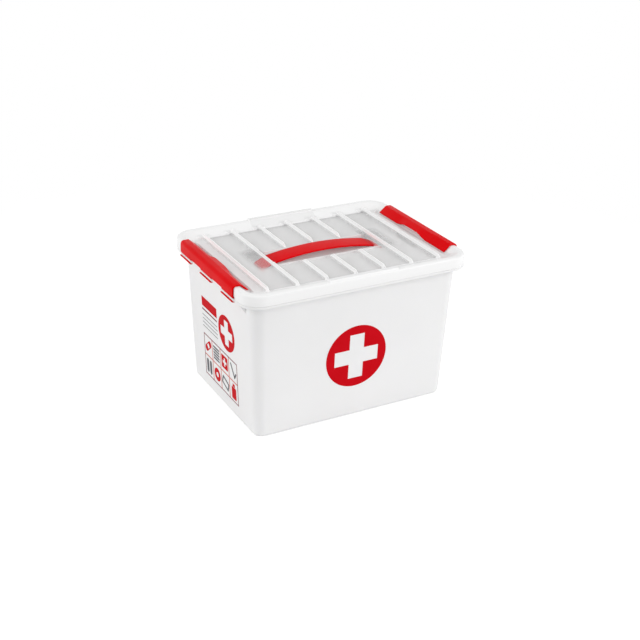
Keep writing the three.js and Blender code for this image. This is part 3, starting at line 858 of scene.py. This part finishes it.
def make_strap():
    """An arched band, drawn along its length, with a bead across each hidden end."""
    reach = STRAP_SPAN + STRAP_TAIL
    rings = []
    for i in range(STRAP_STEPS + 1):
        x = -reach + 2 * reach * i / STRAP_STEPS
        rise = strap_height(x + 0.5) - strap_height(x - 0.5)
        length = math.hypot(1, rise)
        end_share = min((reach - abs(x)) / STRAP_END_RUN, 1)
        shrink = STRAP_END_ROUND * (1 - math.sqrt(max(1 - (1 - end_share) ** 2, 0)))
        ring = []
        for y, height in strap_section(STRAP_HALF_WIDTH - shrink, STRAP_THICKNESS - 2 * shrink):
            up = height + shrink - STRAP_THICKNESS
            ring.append((x - rise / length * up, y, strap_height(x) + up / length))
        rings.append(ring)
    strap = loft("strap", rings)
    beads = []
    low = strap_height(reach) - STRAP_THICKNESS - BEAD_DROP
    for sign in (-1, 1):
        xs = sorted((sign * (reach - BEAD_LENGTH), sign * reach))
        corner = (xs[0], -STRAP_HALF_WIDTH, low)
        opposite = (xs[1], STRAP_HALF_WIDTH, low + BEAD_HEIGHT)
        beads.append(rounded_block("bead", corner, opposite, BEAD_ROUND))
    combine(strap, beads, "UNION")
    strap.name = "strap_handle"
    shade(strap, 40)
    return strap


# Clips

def on_end_slope(distance, along):
    """A point over the slope inside the end ridge, by its distance off it and its way down it."""
    return (
        RIM_X - RIDGE_WIDTH - DOWN_X * along - DOWN_Z * distance,
        RIDGE_TOP - DOWN_Z * along + DOWN_X * distance,
    )


def filleted_path(corners, radii, steps):
    """Points along a path whose inner corners are rounded."""
    points = [corners[0]]
    for before, corner, after, radius in zip(corners, corners[1:], corners[2:], radii):
        corner = Vector(corner)
        to_before = (Vector(before) - corner).normalized()
        to_after = (Vector(after) - corner).normalized()
        half_angle = to_before.angle(to_after) / 2
        reach = radius / math.tan(half_angle)
        centre = corner + (to_before + to_after).normalized() * (radius / math.sin(half_angle))
        first = corner + to_before * reach - centre
        turn = first.angle_signed(corner + to_after * reach - centre)
        for step in range(steps + 1):
            rotation = Matrix.Rotation(-turn * step / steps, 2)
            points.append(tuple(centre + rotation @ first))
    points.append(corners[-1])
    return points


def clip_outline(lift, inset):
    """Outline of the clip's web, top and lip as (x, z), drawn in by an inset at its rounded ends."""
    half = CLIP_THICKNESS / 2
    web_x = RIM_X + CLIP_GAP + half
    top_z = RIDGE_TOP + CLIP_GAP + half
    offset = LIP_GAP + half
    knee = on_end_slope(offset, (DOWN_X * offset - CLIP_GAP - half) / DOWN_Z)
    tip_x, tip_z = on_end_slope(offset, END_SLOPE + LIP_REACH - half)
    corners = [(web_x, WEB_BOTTOM), (web_x - SKIRT_LEAN / 2, top_z), knee, (tip_x, tip_z + lift)]
    path = [Vector(p) for p in filleted_path(corners, (RIDGE_ROUND + CLIP_GAP + half, KNEE_RADIUS), 8)]
    outer = []
    inner = []
    reach = half - inset
    for i, point in enumerate(path):
        ahead = path[min(i + 1, len(path) - 1)] - path[max(i - 1, 0)]
        normal = Vector((ahead.y, -ahead.x)).normalized()
        outer.append(point + normal * reach)
        inner.append(point - normal * reach)
    direction = path[-1] - path[-2]
    start = math.degrees(math.atan2(-direction.x, direction.y))
    cap = arc(*path[-1], reach, start, start + 180, 8)[1:-1]
    return [tuple(p) for p in outer + cap + inner[::-1]]


def rounded_ends(half, radius, steps, middle=()):
    """Stations from -half to half, as (place, inset), whose insets round both ends."""
    first = [(-half + radius * (1 - c), radius * (1 - s)) for c, s in quarter(steps)]
    return first + list(middle) + [(-place, inset) for place, inset in reversed(first)]


def clip_body():
    middle = [(-TAB_HALF + 2 * TAB_HALF * i / CLIP_STEPS, 0) for i in range(CLIP_STEPS + 1)]
    sections = []
    for y, inset in rounded_ends(CLIP_HALF_WIDTH, CLIP_END_ROUND, 4, middle):
        lift = TAB_LIFT * float(smooth_step((TAB_HALF - abs(y)) / TAB_BLEND))
        sections.append((y, clip_outline(lift, inset)))
    return along_y("clip_web", sections)


def hook_outline(inset):
    """Outline of a knuckle's hook round the bar, as (x, z)."""
    inner_radius = HOOK_INNER + inset
    outer_radius = HOOK_OUTER - inset
    inner = arc(BAR_X, BAR_Z, inner_radius, HOOK_START, HOOK_END, HOOK_STEPS)
    outer = arc(BAR_X, BAR_Z, outer_radius, HOOK_END, HOOK_BACK, HOOK_STEPS)
    middle = arc(BAR_X, BAR_Z, (inner_radius + outer_radius) / 2, HOOK_END, HOOK_END, 0)[0]
    tip = arc(*middle, (outer_radius - inner_radius) / 2, HOOK_END + 180, HOOK_END, 6)[1:-1]
    front = arc(BAR_X, BAR_Z, outer_radius, HOOK_START, HOOK_START, 0)
    root = WEB_BOTTOM + HOOK_OVERLAP
    outline = [(RIM_X + CLIP_GAP + CLIP_THICKNESS - inset, root)] + front
    return outline + inner + tip + outer + [(RIM_X + CLIP_GAP + inset, root)]


def knuckle(y):
    ends = rounded_ends(KNUCKLE_WIDTH / 2, KNUCKLE_END_ROUND, 3)
    return along_y("knuckle", [(y + place, hook_outline(inset)) for place, inset in ends])


def make_clip(name):
    clip = clip_body()
    combine(clip, [knuckle(index * KNUCKLE_PITCH) for index in (-1, 0, 1)], "UNION")
    clip.name = name
    if name.startswith("left"):
        for vertex in clip.data.vertices:
            vertex.co.x = -vertex.co.x
            vertex.co.y = -vertex.co.y
    shade(clip, 42)
    return clip


# Tray

def make_tray():
    """A tray hung by its flange, with six compartments and a grip cut in each end."""
    def body(inset, z):
        lean = TRAY_LEAN * (TRAY_TOP - z) / (TRAY_TOP - TRAY_BOTTOM)
        half_x = TRAY_BODY_X - lean - inset
        return rounded_rectangle(half_x, TRAY_BODY_Y - lean - inset, TRAY_CORNER - inset, z)

    def flange(inset, z):
        return rounded_rectangle(TRAY_RIM_X - inset, TRAY_RIM_Y - inset, TRAY_CORNER - inset, z)

    flange_low = TRAY_TOP - TRAY_FLANGE
    edge = TRAY_EDGE_ROUND
    rings = quarter_round(body, 0, TRAY_BOTTOM, TRAY_ROUND, TRAY_ROUND, 4)[::-1]
    rings += [body(0, flange_low - 1), body(-TRAY_FILLET, flange_low)]
    rings += quarter_round(flange, 0, flange_low, edge, edge)[::-1]
    rings += quarter_round(flange, 0, TRAY_TOP, edge, -edge)
    rings += quarter_round(body, TRAY_WALL, TRAY_TOP, -edge, -edge)[::-1]
    rings += quarter_round(body, TRAY_WALL, TRAY_BOTTOM + TRAY_WALL, TRAY_ROUND, TRAY_ROUND, 4)
    tray = loft("tray_shell", rings)
    half_x = TRAY_BODY_X - TRAY_LEAN - SUNK
    half_y = TRAY_BODY_Y - TRAY_LEAN - SUNK
    half = TRAY_WALL / 2
    spans = [(-half_x, half_x, -half, half)]
    spans += [(x - half, x + half, -half_y, half_y) for x in (-half_x / 3, half_x / 3)]
    dividers = []
    for x0, x1, y0, y1 in spans:
        corner = (x0, y0, TRAY_BOTTOM + DIVIDER_LIFT)
        dividers.append(rounded_block("divider", corner, (x1, y1, TRAY_TOP - DIVIDER_DROP), DIVIDER_ROUND))
    past = 20
    corner = (-half_x - past, -GRIP_HALF, TRAY_TOP - GRIP_DEPTH)
    grip = rounded_block("grip", corner, (half_x + past, GRIP_HALF, TRAY_TOP + past), GRIP_ROUND)
    combine(tray, dividers, "UNION")
    combine(tray, [grip], "DIFFERENCE")
    tray.name = "tray"
    shade(tray, 35)
    return tray


# Printed labels

def wall_point(side, u, height, proud):
    """A point on the front or left wall from its place across the wall and its height."""
    lean = math.atan(WALL_LEAN / TUB_HEIGHT)
    out = proud * math.cos(lean) + WALL_LEAN * height / TUB_HEIGHT
    z = height - proud * math.sin(lean)
    if side == "front":
        return (u, -(BASE_Y + out), z)
    return (-(BASE_X + out), -u, z)


def print_sheet(name, side, shapes):
    """Thin printed areas on a wall. Each shape is an outline of (across, height) points and its holes."""
    points = []
    faces = []
    for loops in shapes:
        flat = [point for loop in loops for point in loop]
        total = len(flat)
        first = len(points)
        for triangle in tessellate_polygon([[Vector((u, h, 0)) for u, h in loop] for loop in loops]):
            faces.append(tuple(first + index for index in triangle))
            faces.append(tuple(first + total + index for index in reversed(triangle)))
        for proud in (PRINT_GAP, PRINT_GAP + PRINT_THICKNESS):
            points += [wall_point(side, u, height, proud) for u, height in flat]
        for loop in loops:
            for i in range(len(loop)):
                after = (i + 1) % len(loop)
                faces.append((first + i, first + after, first + total + after, first + total + i))
            first += len(loop)
    return make_piece(name, points, faces, 30)


def cross(u, height, span):
    arm = span / 2
    half = span / 6
    corners = (
        (half, arm), (half, half), (arm, half), (arm, -half), (half, -half), (half, -arm),
        (-half, -arm), (-half, -half), (-arm, -half), (-arm, half), (-half, half), (-half, arm),
    )
    return [(u + x, height + y) for x, y in corners]


def bar(u, height, half_width, half_height, turn=0, radius=0):
    """A rectangle, turned by some degrees, with round corners where it has a radius."""
    corners = rounded_corners(half_width, half_height, radius, 5 if radius else 0)
    c = math.cos(math.radians(turn))
    s = math.sin(math.radians(turn))
    return [(u + x * c - y * s, height + x * s + y * c) for corner in corners for x, y in corner]


def disc_with_cross(name, side, u, height, radius):
    hole = cross(u, height, 2 * radius * CROSS_SHARE)
    return print_sheet(name, side, [[circle(u, height, radius), hole]])


def header_line(height, half_height):
    return [bar(HEADER_OFFSET, height, HEADER_HALF, half_height)]


def panel_edges():
    """The thin outer frame of the side panel."""
    middle = (PANEL_LOW + PANEL_HIGH) / 2
    half_height = (PANEL_HIGH - PANEL_LOW) / 2
    inside = bar(PANEL_OFFSET, middle, PANEL_HALF_WIDTH - PANEL_LINE, half_height - PANEL_LINE)
    return [[bar(PANEL_OFFSET, middle, PANEL_HALF_WIDTH, half_height), inside]]


def panel_dividers():
    """The lines between the cells of the side panel."""
    low = PANEL_LOW + PANEL_LINE
    high = PANEL_HIGH - PANEL_LINE
    middle = (low + high) / 2
    half_width = PANEL_HALF_WIDTH - PANEL_LINE
    half_line = DIVIDER_LINE / 2
    shapes = [[bar(PANEL_OFFSET, middle, half_width, half_line)]]
    half_height = (high - middle - half_line) / 2
    for column in range(1, PANEL_COLUMNS):
        u = PANEL_OFFSET - PANEL_HALF_WIDTH + 2 * PANEL_HALF_WIDTH * column / PANEL_COLUMNS
        for sign in (-1, 1):
            shapes.append([bar(u, middle + sign * (half_line + half_height), half_line, half_height)])
    return shapes


def cell_centre(column, row):
    width = 2 * PANEL_HALF_WIDTH / PANEL_COLUMNS
    height = (PANEL_HIGH - PANEL_LOW) / PANEL_ROWS
    left = PANEL_OFFSET - PANEL_HALF_WIDTH
    return (left + width * (column + 0.5), PANEL_LOW + height * (row + 0.5))


def red_motifs():
    """Plain signs of what such a box holds: a plaster, a pad, a roll and a bottle with its cap."""
    u, h = cell_centre(0, 1)
    plaster = [bar(u, h, 14.5, 6, turn=40, radius=5.9), bar(u, h, 4, 4, turn=40)]
    u, h = cell_centre(2, 1)
    pad = [bar(u, h, 12, 12, radius=2), cross(u, h, 15)]
    u, h = cell_centre(1, 0)
    roll = [circle(u, h, 12, 40), circle(u, h, 4.6, 30)]
    u, h = cell_centre(3, 0)
    bottle = [bar(u, h - 3, 8.5, 11, radius=2)]
    cap = [bar(u, h + 11.5, 4, 2.6)]
    return [plaster, pad, roll, bottle, cap]


def grey_motifs():
    """More of them: a folded cloth, a pin, two tablets and a roll of tape."""
    u, h = cell_centre(1, 1)
    cloth = [[bar(u, h + 5.2 * layer, 12, 1.6, radius=1.5)] for layer in (-2, -1, 0, 1, 2)]
    u, h = cell_centre(3, 1)
    long_leg = [bar(u - 1, h, 1.9, 14, turn=32, radius=1.8)]
    short_leg = [bar(u + 8, h - 6, 1.9, 6, turn=-32, radius=1.8)]
    u, h = cell_centre(0, 0)
    tablets = [[bar(u + side, h, 4, 13, radius=3.9)] for side in (-6, 6)]
    u, h = cell_centre(2, 0)
    tape = [bar(u, h, 13, 8, turn=-20, radius=1.5), bar(u, h, 9.6, 4.6, turn=-20, radius=1)]
    return cloth + [long_leg, short_leg] + tablets + [tape]


# Materials

def new_material(name):
    material = bpy.data.materials.new(name)
    material.use_nodes = True
    return material, material.node_tree, material.node_tree.nodes["Principled BSDF"]


def set_inputs(node, **values):
    """Sets or links a node's sockets by name, with an underscore for each space."""
    for key, value in values.items():
        socket = node.inputs[key.replace("_", " ")]
        if isinstance(value, bpy.types.NodeSocket):
            node.id_data.links.new(value, socket)
        else:
            socket.default_value = value


def add_node(tree, kind, **values):
    node = tree.nodes.new(kind)
    set_inputs(node, **values)
    return node


def math_node(tree, operation, *sockets):
    node = tree.nodes.new("ShaderNodeMath")
    node.operation = operation
    for socket, place in zip(sockets, node.inputs):
        tree.links.new(socket, place)
    return node.outputs[0]


def fold(tree, operation, first, *others):
    """One value from several, joined two at a time."""
    for other in others:
        first = math_node(tree, operation, first, other)
    return first


def spread_value(tree, socket, low, high):
    """Spreads a value of 0 to 1 from low to high."""
    return add_node(tree, "ShaderNodeMapRange", Value=socket, To_Min=low, To_Max=high).outputs["Result"]


def rise_between(tree, socket, start, end):
    """0 at the start and before it, 1 at the end and past it, both in millimetres."""
    rise = add_node(tree, "ShaderNodeMapRange", Value=socket, From_Min=start * MM, From_Max=end * MM)
    return rise.outputs["Result"]


def object_noise(tree, scale, detail, roughness=0.5):
    place = add_node(tree, "ShaderNodeTexCoord").outputs["Object"]
    noise = add_node(tree, "ShaderNodeTexNoise", Vector=place, Scale=scale, Detail=detail)
    set_inputs(noise, Roughness=roughness)
    return noise.outputs["Fac"]


def vary_colour(tree, shader, tones, scale):
    """A very faint, wide change of tone over a moulded part."""
    ramp = add_node(tree, "ShaderNodeValToRGB", Fac=object_noise(tree, scale, 3))
    for stop, position, tone in zip(ramp.color_ramp.elements, (0.3, 0.7), tones):
        stop.position = position
        stop.color = (*tone, 1)
    set_inputs(shader, Base_Color=ramp.outputs["Color"])


def vary_roughness(tree, shader, limits, scale):
    set_inputs(shader, Roughness=spread_value(tree, object_noise(tree, scale, 4), *limits))


def grain(tree, shader, scale, depth, strength):
    """The fine texture of a moulded surface."""
    noise = object_noise(tree, scale, 2, 0.6)
    bump = add_node(tree, "ShaderNodeBump", Height=noise, Strength=strength, Distance=depth)
    set_inputs(shader, Normal=bump.outputs["Normal"])


def plastic(name, tones, roughness, scales, depth, strength, **values):
    """A moulded or printed surface. Its tone, roughness and grain vary, each at its own scale."""
    tone_scale, roughness_scale, grain_scale = scales
    material, tree, shader = new_material(name)
    vary_colour(tree, shader, tones, tone_scale)
    vary_roughness(tree, shader, roughness, roughness_scale)
    grain(tree, shader, grain_scale, depth, strength)
    set_inputs(shader, **values)
    return material


def white_plastic():
    return plastic(
        "tub_white_plastic", TUB_TONES, roughness=(0.36, 0.46), scales=(6, 40, 1400), depth=0.00006,
        strength=0.25, Subsurface_Weight=0.3, Subsurface_Radius=(1, 1, 0.9), Subsurface_Scale=0.003,
        Specular_IOR_Level=0.4)


def milkiness(tree, along, across, up):
    """1 where the lid is thick, less in its lugs and in the strips beside the clips, and 0 in its cells."""
    high = rise_between(tree, up, PANEL_TOP + 2, PANEL_TOP + 3.2)
    side = rise_between(tree, across, PANEL_Y - 4.5, PANEL_Y - 2)
    past_ribs = rise_between(tree, along, LAST_RIB_X + 1, LAST_RIB_X + 4)
    strip = spread_value(tree, past_ribs, 0, END_STRIP_MILKINESS)
    ridge = rise_between(tree, along, GUTTER_INNER_X + 7, GUTTER_INNER_X + 9)
    thick = fold(tree, "MAXIMUM", high, side, strip, ridge)
    in_lug = rise_between(tree, along, LUG_X + 0.5, LUG_X - 0.5)
    past_panel = rise_between(tree, across, PANEL_Y + 1, PANEL_Y + 3)
    before_skirt = rise_between(tree, across, RIM_Y - 3, RIM_Y - 4)
    lug = fold(tree, "MULTIPLY", in_lug, past_panel, before_skirt)
    return math_node(tree, "SUBTRACT", thick, spread_value(tree, lug, 0, LUG_CLEARNESS))


def frosted_plastic():
    """Frosted in the panel's cells, clearer over the strap's ends, and milky where it is thick."""
    material, tree, shader = new_material("lid_frosted_plastic")
    place = add_node(tree, "ShaderNodeTexCoord").outputs["Object"]
    split = add_node(tree, "ShaderNodeSeparateXYZ", Vector=place)
    along = math_node(tree, "ABSOLUTE", split.outputs["X"])
    across = math_node(tree, "ABSOLUTE", split.outputs["Y"])
    milky = milkiness(tree, along, across, split.outputs["Z"])
    tint = add_node(tree, "ShaderNodeMix")
    tint.data_type = "RGBA"
    set_inputs(tint, Factor=milky, A=LID_CLEAR, B=LID_MILKY)
    past_slot = rise_between(tree, along, WINDOW_START, WINDOW_OPEN)
    before_end = rise_between(tree, along, WINDOW_END + WINDOW_FADE, WINDOW_END)
    beside_strap = rise_between(tree, across, WINDOW_HALF + WINDOW_FADE, WINDOW_HALF)
    window = fold(tree, "MULTIPLY", past_slot, before_end, beside_strap)
    thin = spread_value(tree, window, CELL_ALPHA, WINDOW_ALPHA)
    cover = add_node(tree, "ShaderNodeMix", Factor=milky, A=thin, B=MILKY_ALPHA)
    vary_roughness(tree, shader, limits=(0.28, 0.34), scale=60)
    grain(tree, shader, scale=1100, depth=0.00002, strength=0.06)
    set_inputs(shader, Base_Color=tint.outputs["Result"], Alpha=cover.outputs["Result"], IOR=1.3)
    return material


def red_plastic(name, tones, roughness):
    return plastic(name, tones, roughness, scales=(12, 50, 900), depth=0.00004, strength=0.15,
                   Specular_IOR_Level=RED_SHINE)


def tray_plastic():
    """White, with a faint glow for the light that many more bounces bring into the closed box."""
    return plastic("tray_plastic", TRAY_TONES, roughness=(0.4, 0.5), scales=(7, 40, 1200), depth=0.00005,
                   strength=0.2, Emission_Color=(1, 1, 1, 1), Emission_Strength=TRAY_GLOW)


def printed(name, tones):
    return plastic(name, tones, roughness=(0.42, 0.52), scales=(30, 90, 1600), depth=0.00003,
                   strength=0.12, Specular_IOR_Level=RED_SHINE)


def dress(piece, material, body, slot, *nodes):
    piece.data.materials.clear()
    piece.data.materials.append(material)
    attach(piece, body)
    if nodes:
        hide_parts(*nodes)


def dress_print(piece, material, *nodes):
    dress(piece, material, "tub_body", "print_red", *nodes)


# Stage, lights and camera

def mix_shaders(tree, share, first, second, output):
    mix = add_node(tree, "ShaderNodeMixShader", Fac=share)
    tree.links.new(first.outputs[0], mix.inputs[1])
    tree.links.new(second.outputs[0], mix.inputs[2])
    set_inputs(output, Surface=mix.outputs["Shader"])


def white_when_seen(tree, shader, output):
    """Plain white to the camera, to mirrors and through clear matter; it lights as its shader says."""
    path = add_node(tree, "ShaderNodeLightPath")
    seen = [path.outputs[kind] for kind in ("Is Camera Ray", "Is Glossy Ray", "Is Transmission Ray")]
    white = add_node(tree, "ShaderNodeBackground", Color=(1, 1, 1, 1), Strength=1.0)
    mix_shaders(tree, fold(tree, "MAXIMUM", *seen), shader, white, output)


def make_world():
    world = bpy.data.worlds.new("studio")
    bpy.context.scene.world = world
    world.use_nodes = True
    tree = world.node_tree
    light = tree.nodes["Background"]
    set_inputs(light, Color=(1, 1, 1, 1), Strength=WORLD_STRENGTH)
    white_when_seen(tree, light, tree.nodes["World Output"])


def make_floor():
    """A pale disc that keeps the box's shadow and fades into the white round it."""
    bpy.ops.mesh.primitive_circle_add(
        vertices=96, radius=FLOOR_RADIUS, fill_type="NGON", location=(0, 0, -0.0002))
    floor = bpy.context.object
    floor.name = "floor"
    material, tree, shader = new_material("floor_white")
    path = add_node(tree, "ShaderNodeLightPath")
    glow = spread_value(tree, path.outputs["Is Camera Ray"], 0, FLOOR_GLOW)
    set_inputs(shader, Base_Color=(0.9, 0.9, 0.9, 1), Roughness=0.9, Specular_IOR_Level=0.0,
               Emission_Color=(1, 1, 1, 1), Emission_Strength=glow)
    place = add_node(tree, "ShaderNodeTexCoord").outputs["Object"]
    length = add_node(tree, "ShaderNodeVectorMath", Vector=place)
    length.operation = "LENGTH"
    fade = rise_between(tree, length.outputs["Value"], FADE_START, FADE_END)
    clear = add_node(tree, "ShaderNodeBsdfTransparent")
    mix_shaders(tree, fade, shader, clear, tree.nodes["Material Output"])
    floor.data.materials.append(material)


def make_light(name, place, size, power):
    """A square lamp that looks at the middle of the box, in metres and watts."""
    data = bpy.data.lights.new(name, "AREA")
    data.shape = "SQUARE"
    data.size = size
    data.energy = power
    lamp = bpy.data.objects.new(name, data)
    lamp.location = place
    direction = Vector(CAMERA_TARGET) * MM - Vector(place)
    lamp.rotation_euler = direction.to_track_quat("-Z", "Y").to_euler()
    bpy.context.scene.collection.objects.link(lamp)


def make_camera():
    azimuth, elevation, roll = map(math.radians, (CAMERA_AZIMUTH, CAMERA_ELEVATION, CAMERA_ROLL))
    turn = Matrix.Rotation(azimuth, 3, "Z") @ Matrix.Rotation(math.pi / 2 - elevation, 3, "X")
    turn = turn @ Matrix.Rotation(roll, 3, "Z")
    data = bpy.data.cameras.new("camera")
    camera = bpy.data.objects.new("camera", data)
    bpy.context.scene.collection.objects.link(camera)
    camera.location = (Vector(CAMERA_TARGET) + turn.col[2] * CAMERA_DISTANCE) * MM
    camera.rotation_euler = turn.to_euler()
    data.sensor_width = SENSOR
    data.lens = CAMERA_FOCAL_PIXELS * SENSOR / IMAGE_WIDTH
    data.shift_x = (IMAGE_WIDTH / 2 - CENTRE_X) / IMAGE_WIDTH
    data.shift_y = (CENTRE_Y - IMAGE_WIDTH / 2) / IMAGE_WIDTH
    data.clip_start = 0.05
    bpy.context.scene.camera = camera


# The pieces

white = white_plastic()
frosted = frosted_plastic()
clip_red = red_plastic("clip_red_plastic", CLIP_TONES, (0.28, 0.36))
strap_red = red_plastic("strap_red_plastic", STRAP_TONES, (0.32, 0.42))
tray_white = tray_plastic()
print_red = printed("print_red", PRINT_TONES)
print_dark = printed("print_dark_red", DARK_PRINT_TONES)
print_pale = printed("print_pale_red", PALE_PRINT_TONES)
print_grey = printed("print_grey", GREY_PRINT_TONES)

dress(make_tub(), white, "tub_body", "tub_white", "tub")
dress(make_lid(), frosted, "lid_body", "lid_frosted", "lid")
dress(make_strap(), strap_red, "handle_body", "strap_red", "handle_strap")
dress(make_clip("right_clip"), clip_red, "clip_right_body", "clip_red", "clip_right")
dress(make_clip("left_clip"), clip_red, "clip_left_body", "clip_red", "clip_left")
dress(make_tray(), tray_white, "tray_body", "tray_white", "insert_tray")

front_disc = disc_with_cross("front_disc", "front", 0, FRONT_DISC_Z, FRONT_DISC_RADIUS)
side_disc = disc_with_cross("side_disc", "left", SIDE_DISC_OFFSET, SIDE_DISC_Z, SIDE_DISC_RADIUS)
dress_print(front_disc, print_red, "front_cross_disc")
dress_print(side_disc, print_red, "side_cross_disc")
header_bar = header_line((HEADER_LOW + HEADER_HIGH) / 2, (HEADER_HIGH - HEADER_LOW) / 2)
left_prints = (
    ("side_header", [header_bar], print_red, "side_header_bar"),
    ("side_header_rule", [header_line(HEADER_RULE_Z, HEADER_RULE / 2)], print_dark),
    ("side_panel_edges", panel_edges(), print_dark, "side_pictogram_panel"),
    ("side_panel_dividers", panel_dividers(), print_pale),
    ("side_motifs_red", red_motifs(), print_red),
    ("side_motifs_grey", grey_motifs(), print_grey),
    ("side_rules", [header_line(height, RULE_WIDTH / 2) for height in RULE_HEIGHTS], print_grey),
)
for name, shapes, material, *nodes in left_prints:
    dress_print(print_sheet(name, "left", shapes), material, *nodes)

make_world()
make_floor()
make_light("left_softbox", place=(-2.4, 0.5, 1.4), size=1.4, power=26)
make_light("front_softbox", place=(1.6, -2.2, 1.5), size=1.6, power=40)
make_camera()
bpy.context.scene.view_settings.view_transform = "Standard"
